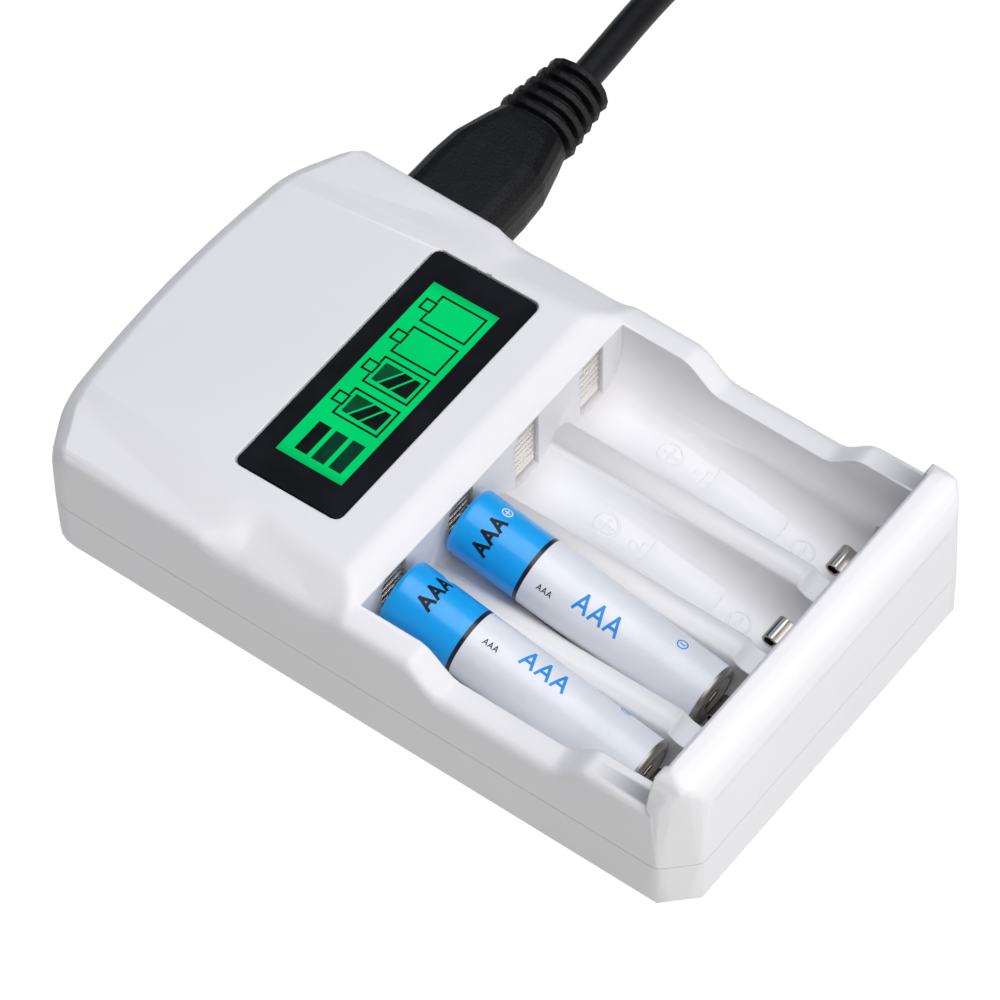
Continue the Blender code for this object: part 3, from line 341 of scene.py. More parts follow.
# White housing: satin moulded plastic with a fine grain and slightly softened edges
whitePlastic = {
    "colours": ((0.8, 0.797, 0.804), (0.785, 0.782, 0.79)),
    "grainSize": 5200.0,
    "grainDepth": 0.02 * mm,
    "edge": 0.35 * mm,
}


def makeWhitePlastic():
    look = Recipe("housingWhite", IOR=1.5)
    fine = look.noise(whitePlastic["grainSize"], 2.0, 0.7)
    edges = look.softEdges(whitePlastic["edge"])
    look.set(Base_Color=look.mottled(whitePlastic["colours"], 38.0, (0.35, 0.7), 2.0),
             Roughness=0.33 + 0.1 * look.noise(160.0) + 0.04 * fine,
             Normal=look.bump(fine, 0.25, whitePlastic["grainDepth"], edges))
    return look.material


# Black vinyl: grained on the moulded pieces, nearly smooth on the cord
blackVinyl = {
    "moulded": (2400.0, 0.12 * mm, ((0.002, 0.002, 0.0025), (0.004, 0.004, 0.005))),  # grain, depth, colours
    "jacket": (3600.0, 0.012 * mm, ((0.004, 0.004, 0.005), (0.008, 0.008, 0.009))),
    "edge": 0.4 * mm,
}


def makeBlackVinyl(name, kind):
    grainSize, depth, colours = blackVinyl[kind]
    look = Recipe(name, IOR=1.4, Specular_IOR_Level=0.4)
    fine = look.noise(grainSize, 3.0, 0.7)
    look.set(Base_Color=look.mottled(colours, 420.0, (0.4, 0.75)),
             Roughness=0.32 + 0.25 * fine,
             Normal=look.bump(fine, 0.9, depth, look.softEdges(blackVinyl["edge"])))
    return look.material


# Nickel: dark and bright on rolled strips, paler and ribbed on the positive contacts
nickelPlate = {
    "strip": (((0.5, 0.47, 0.43), (0.4, 0.375, 0.34)), 0.09, 0.0),  # colours, roughness, height of the ribs
    "ribbed": (((0.9, 0.87, 0.83), (0.84, 0.8, 0.75)), 0.22, 1.0),
    "ribPitch": 0.9,
    "groove": 0.14,
    "edge": 0.12 * mm,
}


def makeNickel(name, kind):
    colours, roughness, ribs = nickelPlate[kind]
    pitch = nickelPlate["ribPitch"]
    look = Recipe(name, Metallic=1.0, IOR=1.5)
    fine = look.noise(3200.0, 2.0, 0.5)
    height = look.axes()[2] * perMetre
    ribbed = abs(height % pitch - pitch / 2).ramped(0.0, nickelPlate["groove"]) * ribs
    edges = look.softEdges(nickelPlate["edge"])
    look.set(Base_Color=look.mottled(colours, 120.0, (0.3, 0.7)),
             Roughness=roughness + 0.06 * fine,
             Normal=look.bump(ribbed + 0.04 * fine, 0.35, 0.05 * mm, edges))
    return look.material


housingWhite = makeWhitePlastic()
dress(makeBlackVinyl("mouldedVinyl", "moulded"), "coupler_plug", "wall_plug", "cord_tie", "inlet_socket")
dress(makeBlackVinyl("cordJacket", "jacket"), leadPiece)
nickel = makeNickel("nickelStrip", "strip")
dress(makeNickel("ribbedPlate", "ribbed"), *numbered("positive_contact", 4))
dress(nickel, *numbered("inlet_pin", 2), *numbered("wall_plug_blade", 2), *numbered("housing_screw", 4),
      *numbered("board_screw", 2))
print("base finishes set")


# Housing shells: the same forms with merged faces, even shading and a hairline seam
housing = {
    "coverEdge": 8.35,
    "shellEdge": 8.65,
    "seam": 0.05,  # what is left open between them
    "edgeSlack": 0.02,
    "welded": 0.01,  # vertices nearer than this become one
    "flat": 0.6,  # faces that turn by less than this many degrees are merged
    "sharp": 28,
}

# The edges of the two front facets, which are tighter than in the part
facet = {
    "side": 34.6,  # half the housing's width
    "reach": 4.57,  # how far a front facet runs along each wall
    "top": 20.4,  # where the facets' edges end
    "round": 2.2,  # how far the part's own rounding runs to each side of an edge
    "tight": 0.4,  # share of it that is kept here
    "diagonal": 0.7071,
    "near": (0.03, 0.35),  # how far past a corner's line and beside it a vertex still belongs to it
}


def tightenFacet(vert):
    front = cadBox[0][1]
    side, reach, radius, slant = facet["side"], facet["reach"], facet["round"], facet["diagonal"]
    past, beside = facet["near"]
    if vert.co.z / mm > facet["top"]:
        return
    spot = Vector((abs(vert.co.x) / mm, (vert.co.y - front) / mm))
    for corner, back, ahead in ((Vector((side - reach, 0.0)), Vector((-1.0, 0.0)), Vector((slant, slant))),
                                (Vector((side, reach)), Vector((-slant, -slant)), Vector((0.0, 1.0)))):
        start, end = corner + back * radius, corner + ahead * radius
        middle = 0.25 * (start + end) + 0.5 * corner
        for a, b in ((start, middle), (middle, end)):
            along = (b - a).normalized()
            t = (spot - a).dot(along)
            if -past < t < (b - a).length + past and (spot - a - along * t).length < beside:
                moved = corner + (spot - corner) * facet["tight"]
                vert.co.x = math.copysign(moved.x * mm, vert.co.x)
                vert.co.y = front + moved.y * mm
                return


# Regions cut finer and smoothed: the ends of the front wall, and the step in the bevels beside the display.
# Each is a box between two corners, from the middle, the front and the underside, on both sides alike.
softened = [
    {"low": (29.2, -1.0, 17.5), "high": (40.0, 6.2, 40.0), "fine": 0.55, "passes": 14, "margin": 1.2},
    {"low": (25.4, 66.0, 14.0), "high": (40.0, 92.0, 40.0), "fine": 1.0, "passes": 30, "margin": 3.0},
]
smoothing = {
    "rounds": 6,  # of cutting long edges in two
    "share": 0.5,  # of the way that a vertex moves to the middle of its neighbours
    "rim": 0.02,  # vertices nearer than this to a region's rim stay
    "cutSlack": 1e-6,  # in metres
}


def regionDepth(region, co):  # how far a point is inside
    spot = (abs(co.x) / mm, (co.y - frontY) / mm, co.z / mm)
    return min(min(spot[i] - region["low"][i], region["high"][i] - spot[i]) for i in range(3))


def facesInside(bm, region):
    return [f for f in bm.faces if regionDepth(region, f.calc_center_median()) > 0]


def refineRegion(bm, region):
    low, high = region["low"], region["high"]
    cuts = [((side * low[0] * mm, 0, 0), (1, 0, 0)) for side in (1, -1)]
    cuts += [((0, frontY + y * mm, 0), (0, 1, 0)) for y in (low[1], high[1])]
    cuts += [((0, 0, low[2] * mm), (0, 0, 1))]
    for place, normal in cuts:
        bmesh.ops.bisect_plane(bm, geom=bm.verts[:] + bm.edges[:] + bm.faces[:], plane_co=place,
                               plane_no=normal, dist=smoothing["cutSlack"])
    for step in range(smoothing["rounds"] + 1):
        bmesh.ops.triangulate(bm, faces=facesInside(bm, region))
        edges = {edge for face in facesInside(bm, region) for edge in face.edges
                 if edge.calc_length() > region["fine"] * mm}
        if not edges or step == smoothing["rounds"]:
            break
        bm.edges.index_update()
        bmesh.ops.subdivide_edges(bm, edges=sorted(edges, key=lambda edge: edge.index), cuts=1)


def smoothRegion(bm, region):
    verts = [v for v in bm.verts if regionDepth(region, v.co) > smoothing["rim"]]
    shares = [min(1.0, regionDepth(region, v.co) / region["margin"]) * smoothing["share"] for v in verts]
    for step in range(region["passes"]):
        places = []
        for vert, share in zip(verts, shares):
            around = [edge.other_vert(vert).co for edge in vert.link_edges]
            places.append(vert.co.lerp(sum(around, Vector()) / len(around), share))
        for vert, place in zip(verts, places):
            vert.co = place


def mergeFlat(bm, regions):  # outside the smoothed regions
    plain = [v for v in bm.verts if all(regionDepth(region, v.co) < housing["welded"] for region in regions)]
    kept = set(plain)
    bmesh.ops.dissolve_limit(bm, angle_limit=math.radians(housing["flat"]), verts=plain,
                             edges=[e for e in bm.edges if e.verts[0] in kept and e.verts[1] in kept])


def evenShell(name, source, regions):
    bm = bmesh.new()
    bm.from_mesh(nodes[source].data)
    bm.transform(nodes[source].matrix_world)
    edge = housing["coverEdge"] * mm
    for vert in bm.verts:
        if source == "bottom_cover" and abs(vert.co.z - edge) < housing["edgeSlack"] * mm:
            vert.co.z = housing["shellEdge"] * mm - housing["seam"] * mm
        tightenFacet(vert)
    bmesh.ops.remove_doubles(bm, verts=bm.verts, dist=housing["welded"] * mm)
    for region in regions:
        refineRegion(bm, region)
        smoothRegion(bm, region)
    mergeFlat(bm, regions)
    piece = meshPiece(name, bm, sharp=housing["sharp"])
    even = piece.modifiers.new("evenShading", "WEIGHTED_NORMAL")
    even.keep_sharp = True
    even.mode = "FACE_AREA_WITH_ANGLE"
    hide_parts(source)
    dress(housingWhite, piece)


evenShell("housingTop", "top_shell", softened)
evenShell("housingBase", "bottom_cover", [])
print("shells evened")


# Sprung contacts: one rolled nickel strip in each bay, pushed back where a cell is loaded
spring = {  # places along a bay are distances from the front
    "strip": 0.4,  # its thickness
    "width": 4.1,
    "edge": 0.07,  # of its small bevels
    "web": 4.4,  # its straight back
    "face": 9.0,  # its straight front, which presses on a cell
    "bend": (1.5, 16.6),  # radius of the upper bend and height of its middle
    "nose": (14.7, 7.85, 1.0),  # middle and radius of the curl at the lower end
    "flange": (3.1, 9.2, 16.2),  # half the width, foot and top of the plate on its back
    "pressed": (1.4, 1.4, 0.0, 0.0),  # in each bay
}


def springLine():  # the strip from the side: distance from the front and height
    web, face = spring["web"], spring["face"]
    bend, height = spring["bend"]
    noseY, noseZ, curl = spring["nose"]
    return [(face - 0.9, 10.4), (face - 0.35, 11.0), (face - 0.06, 11.5), (face, 12.0), (face, height),
            *arc((face - bend, height), bend, range(15, 91, 15)),
            (web + 1.2, 18.1), (web + 0.5, 17.95), (web + 0.1, 17.6), (web, 17.1), (web, 8.2),
            (web + 0.1, 7.75), (web + 0.4, 7.45), (web + 0.8, 7.4), (9.4, 7.4), (12.3, 7.8),
            *arc((noseY, noseZ), curl, range(120, -181, -15))]


def stripSection():
    half, thick, edge = spring["width"] / 2, spring["strip"] / 2, spring["edge"]
    return [(half, edge - thick), (half, thick - edge), (half - edge, thick), (edge - half, thick),
            (-half, thick - edge), (-half, edge - thick), (edge - half, -thick), (half - edge, -thick)]


def springMesh(shift):
    bm = bmesh.new()
    line = springLine()
    rows = []
    for i, point in enumerate(line):
        before, after = Vector(line[max(i - 1, 0)]), Vector(line[min(i + 1, len(line) - 1)])
        along = (after - before).normalized()
        side = Vector((-along.y, along.x))
        spots = [(across, Vector(point) + side * out) for across, out in stripSection()]
        rows.append([bm.verts.new((shift + Vector((across, spot.x, spot.y))) * mm) for across, spot in spots])
    half, foot, top = spring["flange"]
    near, far = spring["web"] - spring["strip"] / 2, spring["web"] + spring["strip"] / 2
    plate = [[bm.verts.new((shift + Vector((x, y, z))) * mm)
              for x, y in ((-half, near), (half, near), (half, far), (-half, far))] for z in (foot, top)]
    for block in (rows, plate):
        skin(bm, block)
        bm.faces.new(block[0])
        bm.faces.new(block[-1])
    return bm


def makeSprings():
    lean = math.radians(cellTilt)
    for k, back in enumerate(spring["pressed"]):
        shift = Vector((bayPlaces[k] / mm, frontY / mm - back * math.cos(lean), -back * math.sin(lean)))
        piece = meshPiece(f"sprungStrip{k + 1}", springMesh(shift), body=f"contact_{k + 1}", sharp=40)
        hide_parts(f"negative_contact_{k + 1}")
        dress(nickel, piece)
    print("springs made")


makeSprings()


# Board and the parts on it
inner = {
    "pitch": 2.54,  # of the board's pads and tracks
    "pad": 0.4,  # radius
    "trackWidth": 0.22,
    "solderMask": ((0.012, 0.13, 0.05), (0.018, 0.17, 0.07)),
    "track": (0.03, 0.26, 0.1),
    "tin": (0.62, 0.58, 0.5),
    "tape": ((0.72, 0.5, 0.08), (0.64, 0.42, 0.06)),
    "tapeEdge": (0.3, 0.2, 0.04),
    "tapeWidth": 3.2,
    "can": ((0.015, 0.016, 0.03), (0.03, 0.03, 0.045)),
    "canLid": (0.6, 0.6, 0.6),
    "canTop": 14.4 * mm,
    "chip": ((0.012, 0.012, 0.013), (0.03, 0.03, 0.032)),
    "leg": (0.6, 0.58, 0.54),
    "legTop": 5.95 * mm,
    "fuseCap": (0.62, 0.6, 0.56),
    "fuseGlass": (0.75, 0.8, 0.78),
    "glassSpan": (26.2 * mm, 31.9 * mm),
    "panel": ((0.0, 0.5, 0.1), (0.0, 0.44, 0.09)),
    "lightGuide": ((0.78, 0.86, 0.78), (0.72, 0.82, 0.72)),
}


def makeBoard():
    look = Recipe("solderMask", IOR=1.5)
    x, y = [axis * perMetre for axis in look.axes()[:2]]
    pitch = inner["pitch"]
    row, column = x % pitch - pitch / 2, y % pitch - pitch / 2
    pads = (row * row + column * column) < inner["pad"] ** 2
    tracks = ((abs((y + 0.6 * look.noise(90.0)) % pitch - 0.3) < inner["trackWidth"])
              * (look.noise(130.0) > 0.48))
    green = look.mottled(inner["solderMask"], 300.0, (0.3, 0.7))
    look.set(Base_Color=look.blend(pads, look.blend(tracks, green, inner["track"]), inner["tin"]),
             Metallic=pads * 0.8,
             Roughness=0.34 + 0.12 * look.noise(700.0),
             Normal=look.bump(tracks, 0.3, 0.03 * mm, look.softEdges(0.1 * mm)))
    dress(look.material, "circuit_board")


def makeTransformer():
    look = Recipe("tapedCore")
    wound = (look.axes()[2] * perMetre) % inner["tapeWidth"] < 0.16
    look.set(Base_Color=look.blend(wound, look.mottled(inner["tape"], 140.0), inner["tapeEdge"]),
             Roughness=0.4 + 0.2 * look.noise(600.0),
             Normal=look.bump(wound, 0.4, 0.06 * mm, look.softEdges(0.3 * mm)))
    dress(look.material, "transformer")


def makeCapacitors():
    look = Recipe("capacitorSleeve")
    lid = look.axes()[2] > inner["canTop"]
    look.set(Base_Color=look.blend(lid, look.mottled(inner["can"], 200.0), inner["canLid"]),
             Metallic=lid * 0.9,
             Roughness=0.3 + 0.12 * look.noise(500.0),
             Normal=look.softEdges(0.25 * mm))
    dress(look.material, *numbered("filter_capacitor", 2))


def makeChip():
    look = Recipe("chipBody")
    x, z = look.axes()[::2]
    legs = (z < inner["legTop"]) * ((x * perMetre) % 1.0 < 0.45)
    look.set(Base_Color=look.blend(legs, look.mottled(inner["chip"], 900.0), inner["leg"]),
             Metallic=legs * 0.9,
             Roughness=0.5 + 0.2 * look.noise(1500.0),
             Normal=look.bump(look.noise(3000.0), 0.2, 0.02 * mm, look.softEdges(0.15 * mm)))
    dress(look.material, "controller_chip")


def makeFuse():
    look = Recipe("fuseBody")
    y = look.axes()[1]
    start, end = inner["glassSpan"]
    glass = (y > start) * (y < end)
    look.set(Base_Color=look.blend(glass, inner["fuseCap"], inner["fuseGlass"]),
             Metallic=1.0 - glass,
             Roughness=0.08 + 0.2 * look.noise(300.0))
    dress(look.material, "fuse")


def makePanel():
    glass = Recipe("displayGlass", IOR=1.52)
    glass.set(Base_Color=glass.mottled(inner["panel"], 120.0), Roughness=0.06 + 0.05 * glass.noise(80.0))
    dress(glass.material, "lcd_glass")
    guide = Recipe("lightGuide")
    guide.set(Base_Color=guide.mottled(inner["lightGuide"], 150.0), Roughness=0.35 + 0.1 * guide.noise(400.0))
    dress(guide.material, "lcd_backlight")


makeBoard()
makeTransformer()
makeCapacitors()
makeChip()
makeFuse()
makePanel()
print("inner pieces finished")


# Display: a lit green window in the dark lens, with its marks a hair above it
display = {
    "middle": (1.7, 19.4, 22.46),  # of the lens
    "pitch": -0.032,  # slope of the head, in radians
    "window": (-18.17, -5.75, 18.17, 5.75),
    "windowLayer": (-0.11, -0.05),  # under side and upper side, from the lens
    "markLayer": (-0.06, -0.03),
    "glow": ((0.001, 0.66, 0.165), (0.001, 0.61, 0.15)),
    "dimEnd": (0.001, 0.5, 0.12),
    "dimStart": (16.5 * mm, 1.7 * mm),  # from the middle, and over what length
    "cells": [-6.0, 0.85, 7.4, 14.1],  # middles of the four cells drawn, from the lens's middle
    "charging": 2,  # how many of them show their level
    "line": 0.34,
    "case": [(-1.25, 3.1), (-2.62, 3.1), (-2.62, -4.55), (2.62, -4.55), (2.62, 3.1), (1.5, 3.1)],
    "nib": [(-0.8, 2.95), (1.05, 2.95), (1.05, 4.7), (-0.8, 4.7)],
    "weak": [(-1.75, 1.42), (1.85, -0.7), (1.85, 2.35), (-1.7, 2.35)],
    "levels": [[(-1.8, -0.72), (1.7, -2.5), (1.8, -1.02), (-1.75, 1.05)],
               [(-1.85, -3.85), (1.65, -3.95), (1.7, -2.85), (-1.8, -1.08)]],
    "labels": [(-16.7, 1.47, -10.9, 3.65), (-16.75, -1.5, -10.95, 0.68), (-16.7, -4.45, -10.9, -2.3)],
    # each ink: its two colours, size of the clouds and their limits
    "segment": (((0.001, 0.004, 0.002), (0.003, 0.008, 0.004)), 300.0, (0.4, 0.6)),
    "weakSegment": (((0.0, 0.085, 0.028), (0.0, 0.065, 0.02)), 200.0, (0.35, 0.65)),
    "label": (((0.0, 0.03, 0.012), (0.0, 0.05, 0.02)), 500.0, (0.3, 0.7)),
    "inkFinish": (0.25, 0.08),  # roughness and specular
    "lens": ((0.005, 0.005, 0.006), (0.009, 0.009, 0.011)),
}


def onHead(a, b, lift):
    turn = Matrix.Rotation(display["pitch"], 4, "X")
    return (Vector(display["middle"]) + (turn @ Vector((a, b, lift)))) * mm


def flatShapes(name, outlines, layer):  # thin plates on the sloping head, one per outline
    bm = bmesh.new()
    for outline in outlines:
        under, over = [[bm.verts.new(onHead(a, b, lift)) for a, b in outline] for lift in layer]
        bm.faces.new(over)
        bm.faces.new(under[::-1])
        skin(bm, [under, over])
    return meshPiece(name, bm, smooth=False)


def bar(start, end, width):  # the outline of a straight stroke
    along = (Vector(end) - Vector(start)).normalized()
    side = Vector((-along.y, along.x)) * width / 2
    start, end = Vector(start) - along * width / 2, Vector(end) + along * width / 2
    return [tuple(start - side), tuple(end - side), tuple(end + side), tuple(start + side)]


def rectangle(a0, b0, a1, b1):
    return [(a0, b0), (a1, b0), (a1, b1), (a0, b1)]


def strokes(points, closed):
    ends = points[1:] + points[:1] if closed else points[1:]
    return [bar(start, end, display["line"]) for start, end in zip(points, ends)]


def shifted(points, a):
    return [(a + across, up) for across, up in points]


def makeWindow():
    window = flatShapes("displayWindow", [rectangle(*display["window"])], display["windowLayer"])
    look = Recipe("litWindow", Base_Color=(0.0, 0.0, 0.0), Roughness=0.2, Specular_IOR_Level=0.0,
                  Emission_Strength=1.0)
    start, length = display["dimStart"]
    ends = (abs(look.axes()[0] - display["middle"][0] * mm) - start).ramped(0.0, length)
    green = look.mottled(display["glow"], 90.0, (0.3, 0.7), 1.0)
    look.set(Emission_Color=look.blend(ends, green, display["dimEnd"]))
    dress(look.material, window)


def makeMarks():
    lines, levels, weak = [], [], []
    for k, a in enumerate(display["cells"]):
        lines += strokes(shifted(display["case"], a), False) + strokes(shifted(display["nib"], a), True)
        if k < display["charging"]:
            weak.append(shifted(display["weak"], a))
            levels += [shifted(level, a) for level in display["levels"]]
    first, *others = [rectangle(*label) for label in display["labels"]]
    shapes = [("displayLines", lines), ("displayLevels", levels + [first]), ("displayWeakMarks", weak),
              ("displayLabelFields", others)]
    pieces = [flatShapes(name, outlines, display["markLayer"]) for name, outlines in shapes]
    dress(makeInk("segmentInk", *display["segment"], *display["inkFinish"]), *pieces[:2])
    dress(makeInk("weakSegment", *display["weakSegment"], *display["inkFinish"]), pieces[2])
    dress(makeInk("labelField", *display["label"], *display["inkFinish"]), pieces[3])


def makeLens():
    look = Recipe("tintedLens", IOR=1.35, Specular_IOR_Level=0.12)
    spots = look.noise(140.0, 2.0)
    look.set(Base_Color=look.blend(spots.ramped(0.3, 0.7), *display["lens"]),
             Roughness=0.06 + 0.04 * spots,
             Normal=look.softEdges(0.2 * mm))
    dress(look.material, "display_lens")


makeWindow()
makeMarks()
makeLens()
print("display made")


# Cells: shrink-sleeved AAA cells with a blue plus end, a dark ring and a pearly body
cells = {
    "bays": (0, 1),
    "radius": 5.15,
    "length": 43.8,
    "front": (-43.4, 8.95),  # y and height of the middle of the minus face
    "button": (1.9, 0.9),  # radius and height
    "ring": (30.4, 31.05),  # its two edges, from the minus face
    "steps": 96,
    "endSteps": 64,
    "joined": 1e-7,  # in metres
    "pearl": ((0.775, 0.8, 0.845), (0.74, 0.765, 0.815)),
    "blue": ((0.012, 0.38, 0.88), (0.01, 0.355, 0.84)),
    "ringColour": (0.012, 0.014, 0.02),
    "steel": ((0.42, 0.4, 0.37), (0.3, 0.28, 0.26)),
    "foot": 0.9,  # height of the bare steel at the minus end
}


def cellFrame(k):
    y, z = cells["front"]
    lean = Matrix.Rotation(math.radians(cellTilt - 90), 4, "X")
    return Matrix.Translation(Vector((bayPlaces[k], y * mm, z * mm))) @ lean


def turnedPiece(name, profile, place, steps):
    bm = bmesh.new()
    rows = []
    for radius, height in profile:
        points = ringOutline(radius * mm, steps) if radius else [(0, 0)]
        rows.append([bm.verts.new(place @ Vector((x, y, height * mm))) for x, y in points])
    skin(bm, rows)
    return meshPiece(name, bm)


def joinSeam(piece):  # where a closed profile ends on its first row
    bm = bmesh.new()
    bm.from_mesh(piece.data)
    bmesh.ops.remove_doubles(bm, verts=bm.verts, dist=cells["joined"])
    bmesh.ops.recalc_face_normals(bm, faces=bm.faces)
    bm.to_mesh(piece.data)
    bm.free()


def cellProfiles():  # radius and height of the sleeve, the plus end and the minus end
    radius, length = cells["radius"], cells["length"]
    button, buttonHeight = cells["button"]
    body = length - buttonHeight
    sleeve = [(radius - 1.15, 0.02), (radius - 0.75, 0.0), (radius - 0.35, 0.06), (radius - 0.1, 0.28),
              (radius, 0.65), (radius, 1.0), (radius, body - 1.0), (radius - 0.02, body - 0.7),
              (radius - 0.14, body - 0.32), (radius - 0.4, body - 0.06), (radius - 0.75, body),
              (radius - 1.3, body - 0.02), (radius - 1.34, body - 0.1), (radius - 0.8, body - 0.16),
              (radius - 0.8, 0.16), (radius - 1.19, 0.12)]
    plusEnd = [(0, body - 0.25), (radius - 1.25, body - 0.25), (radius - 1.3, body - 0.12),
               (button + 0.55, body - 0.12), (button + 0.2, body - 0.05), (button + 0.02, body + 0.12),
               (button, length - 0.3), (button - 0.1, length - 0.08), (button - 0.3, length), (0, length)]
    minusEnd = [(0, 0.05), (1.5, 0.05), (1.75, 0.08), (1.9, 0.14), (2.2, 0.14), (2.4, 0.06),
                (radius - 1.35, 0.06), (radius - 1.3, 0.3), (0, 0.3)]
    return sleeve + sleeve[:1], plusEnd, minusEnd


def makeCell(k):
    place = cellFrame(k)
    sleeve, plusEnd, minusEnd = cellProfiles()
    piece = turnedPiece(f"cellSleeve{k + 1}", sleeve, place, cells["steps"])
    joinSeam(piece)
    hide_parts(f"aaa_cell_{k + 1}")
    ends = [turnedPiece(f"cellPlusEnd{k + 1}", plusEnd, place, cells["endSteps"]),
            turnedPiece(f"cellMinusEnd{k + 1}", minusEnd, place, cells["endSteps"])]
    dress(nickel, *ends)
    dress(sleeveFilm(k, place), piece)
    makeSigns(k, place)


def sleeveFilm(k, place):
    look = Recipe(f"sleeveFilm{k + 1}", IOR=1.45, Coat_Weight=0.15, Coat_Roughness=0.12)
    y, z = look.axes()[1:]
    tilt = math.radians(cellTilt)
    start = place.translation
    # distance from the minus face
    along = ((y - start.y) * math.cos(tilt) + (z - start.z) * math.sin(tilt)) * perMetre
    low, high = cells["ring"]
    clouds = look.noise(260.0, 4.0, 0.6)
    blue = look.blend(clouds.ramped(0.3, 0.7), *cells["blue"])
    printed = look.blend(along > low, look.blend(clouds.ramped(0.3, 0.75), *cells["pearl"]),
                         look.blend(along > high, cells["ringColour"], blue))
    foot = along < cells["foot"]
    look.set(Base_Color=look.blend(foot, printed, look.blend(clouds, *cells["steel"])),
             Metallic=foot * 0.9,
             Roughness=0.24 + 0.12 * clouds + foot * 0.1,
             Normal=look.bump(look.noise(1500.0, 3.0), 0.15, 0.02 * mm))
    return look.material


# Signs printed on the sleeves: size letters and the signs of both ends, a hair above the film
signs = {
    "turned": (35.0, 0.0),  # how far each cell's print is turned towards the right, in degrees
    "film": (-0.03, 0.02),  # under side and upper side, from the sleeve
    # ink, sign, degrees from the top, distance from the minus face, height, stroke, reads around the cell
    "rows": [("black", "AAA", -62.0, 37.0, 2.0, 0.5, True), ("white", "+", 22.0, 38.1, 0.86, 0.2, True),
             ("blue", "AAA", -41.0, 22.6, 2.5, 0.45, False), ("blue", "-", 17.0, 7.4, 0.86, 0.2, False),
             ("black", "AAA", -52.0, 28.3, 0.8, 0.14, False)],
    "inks": {"black": ((0.006, 0.008, 0.014), (0.012, 0.014, 0.022)),
             "blue": ((0.03, 0.3, 0.78), (0.025, 0.26, 0.72)),
             "white": ((0.75, 0.8, 0.86), (0.68, 0.74, 0.82))},
    "inkLook": (700.0, (0.35, 0.65), 0.3, 0.15),  # size of the clouds, their limits, roughness and specular
    "pitch": 1.06,  # of the letters, their width and the signs' arms, as shares of the height
    "letterWidth": 0.74,
    "arm": 0.42,
    "crossbar": (0.2, 0.8, 0.3),  # start, end and height in a letter, as shares of its width and height
    "step": 0.35,  # length of one face along a stroke
    "ringSteps": 32,
}


def inkBand(bm, left, right, spot, closed):
    low, high = signs["film"]
    rows = [[bm.verts.new(spot(s, t, out)) for s, t in line]
            for line, out in ((left, low), (left, high), (right, high), (right, low))]
    skin(bm, rows + rows[:1], closed)
    if not closed:
        for i in (0, -1):
            bm.faces.new([row[i] for row in rows])


def inkStroke(bm, start, end, width, spot):
    corners = [Vector(corner) for corner in bar(start, end, width)]
    count = max(2, math.ceil((Vector(end) - Vector(start)).length / signs["step"]))
    left, right = [[tuple(a.lerp(b, i / count)) for i in range(count + 1)]
                   for a, b in ((corners[3], corners[2]), (corners[0], corners[1]))]
    inkBand(bm, left, right, spot, False)


def inkLetters(bm, height, width, spot):
    wide = height * signs["letterWidth"]
    left, right, up = signs["crossbar"]
    for k in range(3):
        s = k * height * signs["pitch"]
        for start, end in (((s, 0), (s + wide / 2, height)), ((s + wide, 0), (s + wide / 2, height)),
                           ((s + wide * left, height * up), (s + wide * right, height * up))):
            inkStroke(bm, start, end, width, spot)


def inkRing(bm, radius, width, spot, plus):
    outer, inside = [ringOutline(size, signs["ringSteps"]) for size in (radius, radius - width)]
    inkBand(bm, outer, inside, spot, True)
    arm = radius * signs["arm"]
    inkStroke(bm, (-arm, 0), (arm, 0), width, spot)
    if plus:
        inkStroke(bm, (0, -arm), (0, arm), width, spot)


def makeSigns(k, place):
    meshes = {}
    for ink, sign, angle, along, height, width, around in signs["rows"]:
        bm = meshes.setdefault(ink, bmesh.new())

        def spot(s, t, out):  # from the sign's own flat coordinates onto the sleeve
            across, up = (s, t) if around else (t, -s)
            turn = math.radians(angle + signs["turned"][k]) + across / cells["radius"]
            radius = cells["radius"] + out
            return place @ (Vector((radius * math.sin(turn), -radius * math.cos(turn), along + up)) * mm)
        if sign == "AAA":
            inkLetters(bm, height, width, spot)
        else:
            inkRing(bm, height, width, spot, sign == "+")
    for ink, bm in meshes.items():
        name = f"{ink.capitalize()}{k + 1}"
        piece = meshPiece(f"sleevePrint{name}", bm, smooth=False)
        dress(makeInk(f"sleeveInk{name}", signs["inks"][ink], *signs["inkLook"]), piece)


for bay in cells["bays"]:
    makeCell(bay)
print("cells made")


# Relief in the troughs: a plus sign in a ring, a cell drawn as a stepped plate and a minus sign in a ring
trough = {  # places along a bay are distances from the front
    "large": (7.32, 16.73),  # radius and axis height
    "small": (5.45, 8.95, 14.6),  # radius, axis height and where along the bay it is measured
    "lift": 0.1,
    "foot": -0.03,  # where a sign's slopes end, just under the trough's face
    "bottom": -0.08,
    "plusRing": (44.0, 2.1),  # place and radius
    "minusRing": (21.2, 1.95),
    "ringSteps": 40,
    "stroke": 0.6,
    "arm": 0.58,  # share of the ring's radius
    "drawnCell": [(25.0, 37.4, 2.75), (37.4, 38.6, 1.5), (38.6, 40.2, 0.8)],  # start, end and half the width
    "bead": [(0.3, 0.8), (0.5, 1.0), (0.7, 0.8)],  # share of a ring's width, and of the lift there
    "slope": (0.28, 1.4),  # share of a plate's width that slopes, and the widest that counts
    "cuts": 8,  # in each direction of a plate
}


def troughHeight(u, along):
    radius, height = trough["large"]
    large = height - math.sqrt(radius * radius - u * u)
    radius, height, start = trough["small"]
    lean = math.radians(cellTilt)
    small = height + (along - start) * math.tan(lean) - math.sqrt(radius * radius - u * u) / math.cos(lean)
    return min(large, small)


def onTrough(bay, u, along, lift):
    return Vector((bayPlaces[bay] + u * mm, frontY + along * mm, (troughHeight(u, along) + lift) * mm))


